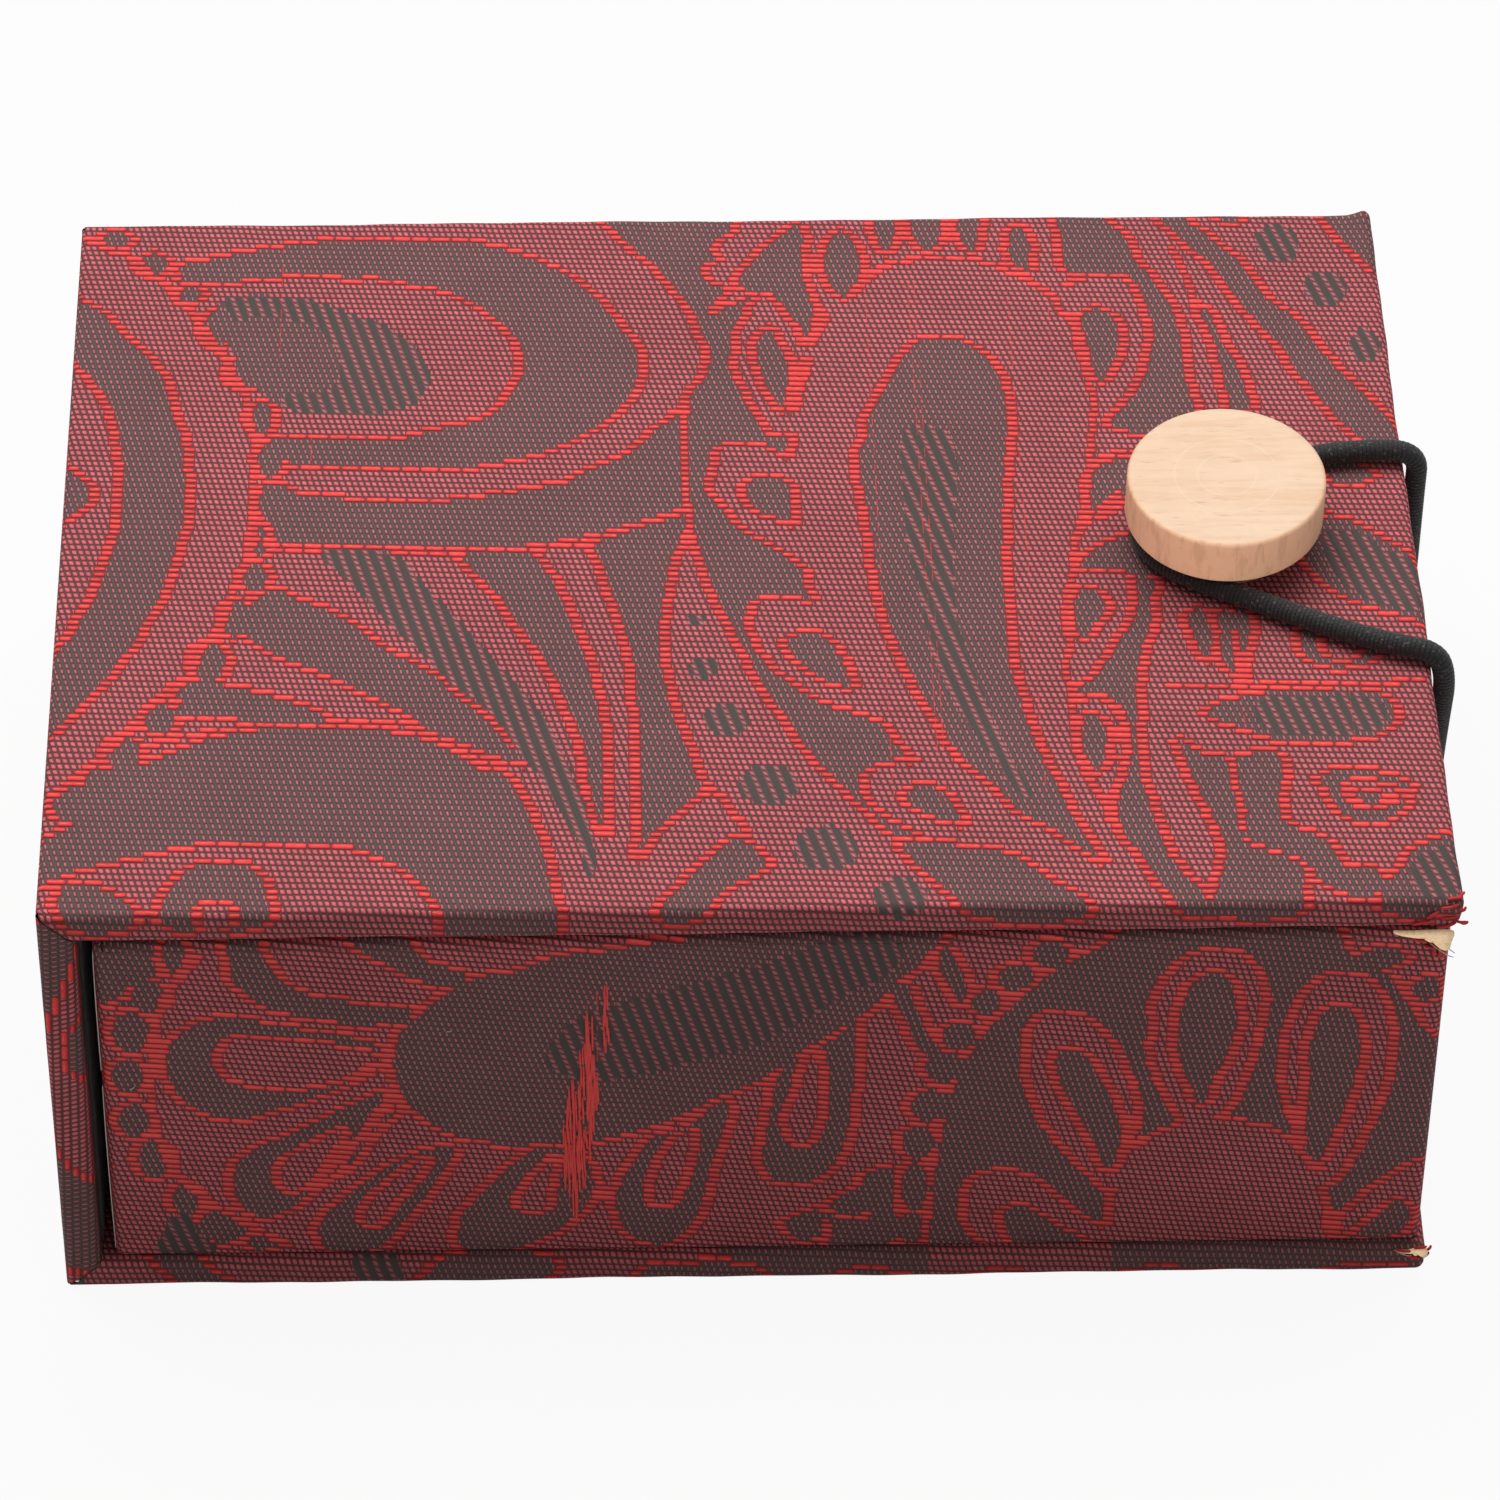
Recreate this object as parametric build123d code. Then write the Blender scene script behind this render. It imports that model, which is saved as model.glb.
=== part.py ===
from build123d import *
import math
import os

# A book-style brocade box: base, spine and cover boards wrapped in cloth and folded round a
# cloth-wrapped tray, closed by an elastic loop over a wooden button.
# The origin is at the centre of the base's underside. X runs along the box, away from the
# spine, Y runs from front to back and Z is up. All sizes are in millimetres.

# The case
case_length = 130.0
case_depth = 99.0
case_height = 50.0
board_thickness = 2.6
cloth_thickness = 0.4
corner_radius = 0.9         # soft outer edges of a wrapped board
turn_in_width = 14.0        # cloth folded to the inside of a board
lining_step = 0.2           # lining that lies over the turned-in cloth
lining_margin = 3.0         # turned-in cloth left showing round the lining
mitre_clearance = 0.1       # each mitred end stands back this far from the fold's plane

# The tray
tray_front_inset = 1.0      # from the boards' front and back edges
tray_right_inset = 0.7      # from the boards' right edges
spine_gap = 1.4             # between the spine and the tray
rim_gap = 1.0               # between the tray's rim and the cover
wall_thickness = 2.2
floor_thickness = 2.0
tray_corner_radius = 0.9
rim_turn_in = 12.0          # cloth folded down inside the rim
turn_under_width = 10.0     # cloth folded under the floor
lining_thickness = 0.8      # satin over thin card
lining_drop = 1.5           # from the rim down to the lining's top edge

# The pad on the tray's floor
pad_height = 4.0
pad_clearance = 0.3
pad_edge_radius = 1.5
satin_thickness = 0.3

# The button
button_edge_inset = 18.5    # from the case's right edge to the button's axis
button_y = 0.5
disc_radius = 9.5
disc_thickness = 4.9
disc_top_edge = 0.35
disc_bottom_edge = 0.25
neck_radius = 6.7
neck_height = 2.9
screw_radius = 1.1
screw_clearance = 0.05
screw_bite = 3.2            # length of the screw inside the disc
screw_head_radius = 2.7
screw_head_height = 1.2
washer_radius = 3.5
washer_thickness = 0.4
recess_clearance = 0.3      # round the washer, in the cover board

# The elastic loop
cord_radius = 1.05
cord_clearance = 0.25       # between the elastic and what it passes
front_strand_offset = 15.8  # from the button's centre line to the strand at the edge, in Y
back_strand_offset = 10.9
cord_hole_height = 22.0
cord_hole_clearance = 0.2
edge_bend_radius = 2.0      # where the elastic turns over the cover's edge
exit_bend_radius = 1.6      # where it turns up out of the wall
edge_lead = 5.0             # stretch that still runs square to the edge
lead_bend_radius = 12.0
knot_radius = 2.1
knot_tail_length = 5.0
knot_tail_drop = 3.0

overrun = 5.0               # how far a cutter passes the faces that it cuts

half_length = case_length / 2
button_x = half_length - button_edge_inset
half_depth = case_depth / 2
wrap_thickness = board_thickness + 2 * cloth_thickness
cord_hole_radius = cord_radius + cord_hole_clearance

os.makedirs("parts", exist_ok=True)


def block(x_range, y_range, z_range):
    """A box given by its lowest and highest X, Y and Z."""
    low = Vector(x_range[0], y_range[0], z_range[0])
    size = Vector(x_range[1], y_range[1], z_range[1]) - low
    return Pos(low) * Box(size.X, size.Y, size.Z, align=(Align.MIN, Align.MIN, Align.MIN))


def rod(radius, start, end):
    """A round rod from one point to another."""
    path = Vector(end) - Vector(start)
    plane = Plane(origin=start, z_dir=path)
    return plane * Cylinder(radius, path.length, align=(Align.CENTER, Align.CENTER, Align.MIN))


def save(node, *solids):
    """Writes one node, which holds one solid or a group of separate ones."""
    shape = solids[0] if len(solids) == 1 else Compound(children=list(solids))
    shape.label = node
    export_step(shape, f"parts/{node}.step")


# A wrapped board is made lying down: X runs from its first fold, Y across it, and Z from the
# outer face of the cloth to the inner one.
def mitre_cutters(length, fold_at_end):
    """Wedges that cut a board's folded ends to 45 degrees."""
    reach = wrap_thickness + lining_step + overrun
    wide = case_depth + 2 * overrun
    shift = mitre_clearance * math.sqrt(2)
    beyond = -3 * overrun
    profile = Polyline(
        (shift - overrun, -overrun), (shift + reach, reach), (beyond, reach), (beyond, -overrun), close=True
    )
    start = Pos(0, wide / 2, 0) * extrude(Plane.XZ * make_face(profile), wide)
    if fold_at_end:
        return [start, mirror(start, about=Plane.YZ.offset(length / 2))]
    return [start]


def soft_slab(length, depth, inset, z_range, radius, free_end):
    """A slab with rounded outer edges. It runs on past the folds, where the mitres cut it."""
    x_range = (-overrun, length - inset if free_end else length + overrun)
    y_range = (-depth / 2 + inset, depth / 2 - inset)
    slab = block(x_range, y_range, z_range)
    along = slab.edges().filter_by(Axis.X)
    if free_end:
        end_face = slab.faces().sort_by(Axis.X)[-1]
        along = along + end_face.edges()
    return fillet(along, radius)


def wrapped_board(length, free_end, lined):
    """The board, its cloth and its inner sheet, lying down with the first fold at X 0."""
    outer = soft_slab(length, case_depth, 0, (0, wrap_thickness), corner_radius, free_end)
    core_z = (cloth_thickness, cloth_thickness + board_thickness)
    core_radius = corner_radius - cloth_thickness
    core = soft_slab(length, case_depth, cloth_thickness, core_z, core_radius, free_end)
    window_end = length - turn_in_width if free_end else length + overrun
    window_y = (-half_depth + turn_in_width, half_depth - turn_in_width)
    window = block((-overrun, window_end), window_y, (core_z[1], wrap_thickness))
    cloth = outer - core - window
    sheet = window
    if lined:
        stop = length - lining_margin if free_end else length - wrap_thickness - lining_margin
        over_y = (-half_depth + lining_margin, half_depth - lining_margin)
        over_z = (wrap_thickness, wrap_thickness + lining_step)
        sheet = sheet + block((wrap_thickness + lining_margin, stop), over_y, over_z)
    cut = [core, cloth, sheet]
    for cutter in mitre_cutters(length, not free_end):
        cut = [piece - cutter for piece in cut]
    return cut


# The base lies as it is made, the spine stands up at the left and the cover is turned over on top
base_place = Pos(-half_length, 0, 0)
spine_place = Plane(origin=(-half_length, 0, 0), x_dir=(0, 0, 1), z_dir=(1, 0, 0)).location
cover_place = Plane(origin=(-half_length, 0, case_height), x_dir=(1, 0, 0), z_dir=(0, 0, -1)).location

base_board, base_cloth, base_infill_paper = [
    base_place * piece for piece in wrapped_board(case_length, True, False)
]
spine_board, spine_cloth, spine_lining = [
    spine_place * piece for piece in wrapped_board(case_height, False, True)
]
cover_board, cover_cloth, cover_lining = [
    cover_place * piece for piece in wrapped_board(case_length, True, True)
]

# The button stands on the cover, held by a screw from inside
cover_inner = case_height - cloth_thickness - board_thickness
head_top = cover_inner + screw_head_height
washer_top = head_top + washer_thickness
disc_bottom = case_height + neck_height
disc_top = disc_bottom + disc_thickness
screw_tip = disc_bottom + screw_bite
screw_hole_radius = screw_radius + screw_clearance


def on_button(z):
    """A point on the button's axis."""
    return (button_x, button_y, z)


recess = rod(washer_radius + recess_clearance, on_button(cover_inner - overrun), on_button(washer_top))
screw_hole = rod(screw_hole_radius, on_button(head_top), on_button(screw_tip + screw_clearance))
cover_board = cover_board - recess - screw_hole
cover_cloth = cover_cloth - screw_hole

button_disc = rod(disc_radius, on_button(disc_bottom), on_button(disc_top))
button_disc = fillet(button_disc.edges().sort_by(Axis.Z)[-1], disc_top_edge)
button_disc = fillet(button_disc.edges().sort_by(Axis.Z)[0], disc_bottom_edge)
button_disc = button_disc - screw_hole
button_neck = rod(neck_radius, on_button(case_height), on_button(disc_bottom)) - screw_hole
button_washer = rod(washer_radius, on_button(head_top), on_button(washer_top)) - screw_hole
screw_head = rod(screw_head_radius, on_button(cover_inner), on_button(head_top))
button_screw = screw_head + rod(screw_radius, on_button(cover_inner), on_button(screw_tip))

# The tray stands on the base
tray_x = (-half_length + wrap_thickness + spine_gap, half_length - tray_right_inset)
tray_y = (-half_depth + tray_front_inset, half_depth - tray_front_inset)
tray_z = (wrap_thickness, case_height - wrap_thickness - lining_step - rim_gap)
wall_z = (tray_z[0] + cloth_thickness, tray_z[1] - cloth_thickness)
floor_top = wall_z[0] + floor_thickness


def shrunk(span, inset):
    """A span made shorter by the same inset at both ends."""
    return (span[0] + inset, span[1] - inset)


wall_outset = cloth_thickness
wall_inset = cloth_thickness + wall_thickness
room_inset = wall_inset + cloth_thickness
wall_x, wall_y = shrunk(tray_x, wall_outset), shrunk(tray_y, wall_outset)
inner_x, inner_y = shrunk(tray_x, wall_inset), shrunk(tray_y, wall_inset)
room_x, room_y = shrunk(tray_x, room_inset), shrunk(tray_y, room_inset)
under_x, under_y = shrunk(tray_x, turn_under_width), shrunk(tray_y, turn_under_width)

wrap_outer = block(tray_x, tray_y, tray_z)
wrap_outer = fillet(wrap_outer.edges().filter_by(Axis.Z), tray_corner_radius)
wall_ring = block(wall_x, wall_y, wall_z)
wall_ring = fillet(wall_ring.edges().filter_by(Axis.Z), tray_corner_radius - cloth_thickness)
turn_in_z = (tray_z[1] - rim_turn_in, tray_z[1] - cloth_thickness)
turn_in = block(inner_x, inner_y, turn_in_z) - block(room_x, room_y, turn_in_z)
mouth = block(room_x, room_y, (wall_z[1], tray_z[1]))
under_window = block(under_x, under_y, (tray_z[0], wall_z[0]))
tray_wrap_cloth = wrap_outer - wall_ring - mouth - under_window + turn_in
tray_infill_paper = under_window
tray_floor = block(inner_x, inner_y, (wall_z[0], floor_top))

ring = wall_ring - block(inner_x, inner_y, wall_z)
left_zone = block((wall_x[0], inner_x[0]), inner_y, wall_z)
right_zone = block((inner_x[1], wall_x[1]), inner_y, wall_z)
front_zone = block(wall_x, (wall_y[0], inner_y[0]), wall_z)
back_zone = block(wall_x, (inner_y[1], wall_y[1]), wall_z)
tray_left_wall = ring & left_zone
tray_right_wall = ring & right_zone
tray_front_wall = ring & front_zone
tray_back_wall = ring & back_zone

# Lining cards: front and back run the whole length, left and right stand between them
card_z = (floor_top, tray_z[1] - lining_drop)
card_x, card_y = shrunk(room_x, lining_thickness), shrunk(room_y, lining_thickness)
lining_front = block(room_x, (room_y[0], card_y[0]), card_z)
lining_back = block(room_x, (card_y[1], room_y[1]), card_z)
lining_left = block((room_x[0], card_x[0]), card_y, card_z)
lining_right = block((card_x[1], room_x[1]), card_y, card_z)

pad_z = (floor_top, floor_top + pad_height)
pad_satin = block(shrunk(card_x, pad_clearance), shrunk(card_y, pad_clearance), pad_z)
pad_satin = fillet(pad_satin.faces().sort_by(Axis.Z)[-1].edges(), pad_edge_radius)
foam_inset = pad_clearance + satin_thickness
foam_z = shrunk(pad_z, satin_thickness)
pad_foam = block(shrunk(card_x, foam_inset), shrunk(card_y, foam_inset), foam_z)
pad_foam = fillet(pad_foam.faces().sort_by(Axis.Z)[-1].edges(), pad_edge_radius - satin_thickness)
pad_satin = pad_satin - pad_foam

# The elastic: out of two holes in the right wall, up, over the cover's edge and round the neck
cord_line_x = half_length + cord_clearance + cord_radius
cord_line_z = case_height + cord_clearance + cord_radius
strand_y = {"front": button_y - front_strand_offset, "back": button_y + back_strand_offset}
neck_line_radius = neck_radius + cord_clearance + cord_radius
edge_centre_x = cord_line_x - edge_bend_radius
edge_centre_z = cord_line_z - edge_bend_radius


def around_edge(y, degrees):
    """A point on the bend over the cover's edge, by its angle up from the strand."""
    angle = math.radians(degrees)
    return (
        edge_centre_x + edge_bend_radius * math.cos(angle),
        y,
        edge_centre_z + edge_bend_radius * math.sin(angle),
    )


def around_exit(y, degrees):
    """A point on the bend out of the wall, by its angle from straight out to straight up."""
    angle = math.radians(degrees)
    centre_x = cord_line_x - exit_bend_radius
    centre_z = cord_hole_height + exit_bend_radius
    return (
        centre_x + exit_bend_radius * math.sin(angle),
        y,
        centre_z - exit_bend_radius * math.cos(angle),
    )


def tube(path):
    """The elastic along a path, with its volume held against section times length."""
    solid = sweep(Plane(origin=path @ 0, z_dir=path % 0) * Circle(cord_radius), path=path)
    section = math.pi * cord_radius**2
    print(f"elastic {path.length:.1f} long, volume ratio {solid.volume / (section * path.length):.4f}")
    return solid


quarter, half_quarter, sixteenth = 90.0, 45.0, 22.5


def strand(y):
    """One strand up the right side, from the wall to the middle of the bend over the edge."""
    out = Line((tray_x[1], y, cord_hole_height), around_exit(y, 0))
    turn = ThreePointArc(around_exit(y, 0), around_exit(y, half_quarter), around_exit(y, quarter))
    up = Line(around_exit(y, quarter), around_edge(y, 0))
    over = ThreePointArc(around_edge(y, 0), around_edge(y, sixteenth), around_edge(y, half_quarter))
    return tube(Wire([out, turn, up, over]))


loop_strands = [strand(y) for y in strand_y.values()]


def tangent_point(from_point, side):
    """Where a line from a point in plan touches the circle that the elastic makes at the neck."""
    dx, dy = button_x - from_point[0], button_y - from_point[1]
    distance = math.hypot(dx, dy)
    bearing = math.atan2(dy, dx) + side * math.asin(neck_line_radius / distance)
    run = math.sqrt(distance**2 - neck_line_radius**2)
    return (from_point[0] + run * math.cos(bearing), from_point[1] + run * math.sin(bearing))


def over_cover(which, side):
    """The stretch from the bend at the edge to the neck, as points in plan."""
    start = (edge_centre_x, strand_y[which])
    lead = (start[0] - edge_lead, start[1])
    return [start, lead, tangent_point(lead, side)]


def lifted(point):
    """A point in plan, at the height of the elastic's centre over the cover."""
    return (point[0], point[1], cord_line_z)


front_way, back_way = over_cover("front", 1), over_cover("back", -1)
neck_left = (button_x - neck_line_radius, button_y)
front_run = FilletPolyline([lifted(point) for point in front_way], radius=lead_bend_radius)
back_run = FilletPolyline([lifted(point) for point in reversed(back_way)], radius=lead_bend_radius)
round_neck = ThreePointArc(lifted(front_way[2]), lifted(neck_left), lifted(back_way[2]))
front_over = ThreePointArc(
    around_edge(strand_y["front"], half_quarter),
    around_edge(strand_y["front"], half_quarter + sixteenth),
    around_edge(strand_y["front"], quarter),
)
back_over = ThreePointArc(
    around_edge(strand_y["back"], quarter),
    around_edge(strand_y["back"], half_quarter + sixteenth),
    around_edge(strand_y["back"], half_quarter),
)
loop_bight = tube(Wire([front_over] + front_run.edges() + [round_neck] + back_run.edges() + [back_over]))

# The ends go through the wall and its lining and are knotted inside
knot_x = card_x[1] - knot_radius


def knotted_end(y):
    """One end of the elastic: through the wall, a round knot and a short tail."""
    through = rod(cord_radius, (knot_x, y, cord_hole_height), (tray_x[1], y, cord_hole_height))
    tail_end = (knot_x - knot_tail_length, y, cord_hole_height - knot_tail_drop)
    tail = rod(cord_radius, (knot_x, y, cord_hole_height), tail_end)
    return Pos(knot_x, y, cord_hole_height) * Sphere(knot_radius) + through + tail


loop_knots = [knotted_end(y) for y in strand_y.values()]
for y in strand_y.values():
    start, end = (inner_x[1] - overrun, y, cord_hole_height), (tray_x[1] + overrun, y, cord_hole_height)
    cord_hole = rod(cord_hole_radius, start, end)
    tray_right_wall = tray_right_wall - cord_hole
    lining_right = lining_right - cord_hole
    tray_wrap_cloth = tray_wrap_cloth - cord_hole

save("base_board", base_board)
save("base_cloth", base_cloth)
save("base_infill_paper", base_infill_paper)
save("spine_board", spine_board)
save("spine_cloth", spine_cloth)
save("spine_lining", spine_lining)
save("cover_board", cover_board)
save("cover_cloth", cover_cloth)
save("cover_lining", cover_lining)
save("tray_floor", tray_floor)
save("tray_front_wall", tray_front_wall)
save("tray_back_wall", tray_back_wall)
save("tray_left_wall", tray_left_wall)
save("tray_right_wall", tray_right_wall)
save("tray_wrap_cloth", tray_wrap_cloth)
save("tray_infill_paper", tray_infill_paper)
save("lining_front", lining_front)
save("lining_back", lining_back)
save("lining_left", lining_left)
save("lining_right", lining_right)
save("pad_foam", pad_foam)
save("pad_satin", pad_satin)
save("button_disc", button_disc)
save("button_neck", button_neck)
save("button_screw", button_screw)
save("button_washer", button_washer)
save("loop_strands", *loop_strands)
save("loop_bight", loop_bight)
save("loop_knots", *loop_knots)
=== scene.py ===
import bpy
import numpy as np
from mathutils import Matrix, Vector


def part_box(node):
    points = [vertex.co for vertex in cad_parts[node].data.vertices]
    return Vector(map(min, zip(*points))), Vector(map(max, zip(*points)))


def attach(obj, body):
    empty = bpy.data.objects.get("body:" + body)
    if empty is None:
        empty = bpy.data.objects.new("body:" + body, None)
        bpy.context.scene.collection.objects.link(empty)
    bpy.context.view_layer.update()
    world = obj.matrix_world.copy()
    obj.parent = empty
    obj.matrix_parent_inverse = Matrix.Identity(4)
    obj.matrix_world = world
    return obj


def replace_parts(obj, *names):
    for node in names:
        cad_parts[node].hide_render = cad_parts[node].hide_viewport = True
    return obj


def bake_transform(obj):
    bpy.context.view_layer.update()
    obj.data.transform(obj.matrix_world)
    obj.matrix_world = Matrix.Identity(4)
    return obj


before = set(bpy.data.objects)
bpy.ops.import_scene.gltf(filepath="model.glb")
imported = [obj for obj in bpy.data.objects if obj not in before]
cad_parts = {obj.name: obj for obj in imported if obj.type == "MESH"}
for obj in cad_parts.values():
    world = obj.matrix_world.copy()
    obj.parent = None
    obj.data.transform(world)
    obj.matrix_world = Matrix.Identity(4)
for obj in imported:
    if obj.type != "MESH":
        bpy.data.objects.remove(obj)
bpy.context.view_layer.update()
scene = bpy.context.scene
mm = 0.001
quarter = np.pi / 2
print("frame loaded")

# Camera: the photo's place, turn and lens, in mm
camera = {
    "place": (-14.8517, -504.8467, 505.2116),
    "right": (0.999671, -0.024379, 0.007977),
    "up": (0.011070, 0.690573, 0.723178),
    "lens": 170.08,
    "sensor": 36.0,
}


def addCamera(c):
    data = bpy.data.cameras.new("camera")
    data.lens, data.sensor_width, data.clip_start, data.clip_end = c["lens"], c["sensor"], 0.01, 20
    obj = bpy.data.objects.new("camera", data)
    right, up = Vector(c["right"]).normalized(), Vector(c["up"]).normalized()
    turn = Matrix((right, up, right.cross(up))).transposed().to_4x4()
    obj.matrix_world = Matrix.Translation(Vector(c["place"]) * mm) @ turn
    scene.collection.objects.link(obj)
    scene.camera = obj


addCamera(camera)


# A value in a node tree: arithmetic with it adds Math nodes
class Value:
    def __init__(self, socket):
        self.socket, self.tree = socket, socket.id_data

    def __add__(self, other):
        return calc("ADD", self, other)

    def __sub__(self, other):
        return calc("SUBTRACT", self, other)

    def __rsub__(self, other):
        return calc("SUBTRACT", other, self)

    def __mul__(self, other):
        return calc("MULTIPLY", self, other)

    def __truediv__(self, other):
        return calc("DIVIDE", self, other)

    __radd__, __rmul__ = __add__, __mul__


def plug(socket, value):
    if isinstance(value, Value):
        value.tree.links.new(value.socket, socket)
    else:
        socket.default_value = value


def addNode(tree, kind, inputs=(), output=0, **settings):
    made = tree.nodes.new(kind)
    for key, value in settings.items():
        setattr(made, key, value)
    for key, value in dict(inputs).items():
        plug(made.inputs[key], value)
    return Value(made.outputs[output])


def calc(operation, *values):
    tree = next(value.tree for value in values if isinstance(value, Value))
    return addNode(tree, "ShaderNodeMath", enumerate(values), operation=operation)


def mixColor(share, a, b):
    return addNode(share.tree, "ShaderNodeMix", {0: share, 6: a, 7: b}, 2, data_type="RGBA")


def mixNumber(share, a, b):
    return addNode(share.tree, "ShaderNodeMix", {0: share, 2: a, 3: b}, data_type="FLOAT")


def fade(value, low, high, start=0.0, end=1.0):
    return addNode(value.tree, "ShaderNodeMapRange", enumerate((value, low, high, start, end)),
                   interpolation_type="SMOOTHSTEP")


# Noise at one scale, or at a scale of its own each way
def noiseOf(vector, scale, detail=2.0, rough=0.5):
    if isinstance(scale, tuple):
        vector, scale = addNode(vector.tree, "ShaderNodeMapping", {"Vector": vector, "Scale": scale}), 1.0
    return addNode(vector.tree, "ShaderNodeTexNoise",
                   {"Vector": vector, "Scale": scale, "Detail": detail, "Roughness": rough})


def vectorMath(operation, vector, other, output=0):
    return addNode(vector.tree, "ShaderNodeVectorMath", {0: vector, **other}, output, operation=operation)


def joined(x, y):
    return addNode(x.tree, "ShaderNodeCombineXYZ", {"X": x, "Y": y})


def split(vector):
    node = vector.tree.nodes.new("ShaderNodeSeparateXYZ")
    plug(node.inputs[0], vector)
    return [Value(socket) for socket in node.outputs]


# A new material, its shader and the place in object coordinates
def newMaterial(name, **shaderValues):
    made = bpy.data.materials.new(name)
    made.use_nodes = True
    shader = made.node_tree.nodes["Principled BSDF"]
    for key, value in shaderValues.items():
        shader.inputs[key.replace("_", " ")].default_value = value
    return made, shader, addNode(made.node_tree, "ShaderNodeTexCoord", output="Object")


def dress(shader, color, height, distance):
    plug(shader.inputs["Base Color"], color)
    plug(shader.inputs["Normal"], addNode(height.tree, "ShaderNodeBump", {
        "Height": height, "Distance": distance, "Strength": 1.0}))


# sRGB 0..255 to the linear colour that Blender works in
def rgb(r, g, b):
    srgb = np.array((r, g, b)) / 255
    return tuple(np.where(srgb > 0.04, ((srgb + 0.055) / 1.055) ** 2.4, srgb / 12.92)) + (1.0,)


# Blotches, the same for every fabric, card and wood: a colour times one plus a share of centred noise
def mottleGroup():
    group = bpy.data.node_groups.new("mottle", "ShaderNodeTree")
    for name, kind in (("Color", "Color"), ("Vector", "Vector"), ("Scale", "Float"), ("Amount", "Float")):
        group.interface.new_socket(name, in_out="INPUT", socket_type="NodeSocket" + kind)
    group.interface.new_socket("Color", in_out="OUTPUT", socket_type="NodeSocketColor")
    inside = group.nodes.new("NodeGroupInput").outputs
    color, vector, scale, amount = (Value(inside[key]) for key in ("Color", "Vector", "Scale", "Amount"))
    bright = (noiseOf(vector, scale, 4.0, 0.6) - 0.5) * amount + 1.0
    plug(group.nodes.new("NodeGroupOutput").inputs["Color"], vectorMath("SCALE", color, {"Scale": bright}))
    return group


mottleNodes = mottleGroup()


def mottled(color, vector, scale, amount):
    return addNode(vector.tree, "ShaderNodeGroup", {"Color": color, "Vector": vector, "Scale": scale,
                                                    "Amount": amount}, node_tree=mottleNodes)


# A grid of points becomes quads that face outward: outward is one way for all, or one for each point
def gridFaces(points, outward):
    rows, cols = points.shape[0] - 1, points.shape[1] - 1
    first = (np.arange(rows)[:, None] * (cols + 1) + np.arange(cols)).ravel()
    quads = np.stack((first, first + 1, first + cols + 2, first + cols + 1), 1)
    p = points.reshape(-1, 3)
    normals = np.cross(p[quads[:, 2]] - p[quads[:, 0]], p[quads[:, 3]] - p[quads[:, 1]])
    outward = np.broadcast_to(outward, points.shape).reshape(-1, 3)[first]
    return quads[:, ::-1] if (normals * outward).sum() < 0 else quads


# Patches of points in mm, quads, UVs and perhaps cell values become one piece. Points closer than a
# ten-thousandth of a millimetre are welded, and faces lose their repeated corners
def meshPiece(name, patches, material):
    co, uv = (np.concatenate([p[k] for p in patches]) for k in (0, 2))
    shift = np.cumsum([0] + [len(p[0]) for p in patches[:-1]])
    quads = np.concatenate([p[1] + s for p, s in zip(patches, shift)])
    keys, where = np.unique(np.round(co * 1e4).astype(np.int64), axis=0, return_inverse=True)
    where = where.ravel()
    welded = np.zeros((len(keys), 3))
    welded[where] = co
    quads = where[quads]
    keep = quads != np.roll(quads, -1, 1)
    whole = (keep.sum(1) > 2) & (quads[:, 0] != quads[:, 2]) & (quads[:, 1] != quads[:, 3])
    keep = keep[whole]
    loops, sizes = quads[whole][keep], keep.sum(1)
    mesh = bpy.data.meshes.new(name)
    mesh.vertices.add(len(welded))
    mesh.vertices.foreach_set("co", (welded * mm).ravel())
    mesh.loops.add(len(loops))
    mesh.loops.foreach_set("vertex_index", loops)
    mesh.polygons.add(len(sizes))
    mesh.polygons.foreach_set("loop_start", np.concatenate(([0], np.cumsum(sizes)[:-1])))
    mesh.polygons.foreach_set("use_smooth", np.full(len(sizes), True))
    mesh.uv_layers.new(name="yarns").data.foreach_set("uv", uv[whole][keep].ravel())
    for key in patches[0][3] if len(patches[0]) > 3 else ():
        values = np.concatenate([p[3][key] for p in patches])[whole].astype(float)
        mesh.attributes.new(key, "FLOAT", "FACE").data.foreach_set("value", values)
    mesh.update(calc_edges=True)
    mesh.validate()
    mesh.materials.append(material)
    obj = bpy.data.objects.new(name, mesh)
    scene.collection.objects.link(obj)
    return obj


def smoothStep(x, low, high):
    t = np.clip((x - low) / (high - low), 0, 1)
    return t * t * (3 - 2 * t)


# Small waves of a wrapped edge, a sum of three sines
def waves(t, seed, size):
    return size * (0.5 * np.sin(0.13 * t + seed) + 0.3 * np.sin(0.31 * t + 2.1 * seed)
                   + 0.2 * np.sin(0.83 * t + 3.7 * seed))


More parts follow.
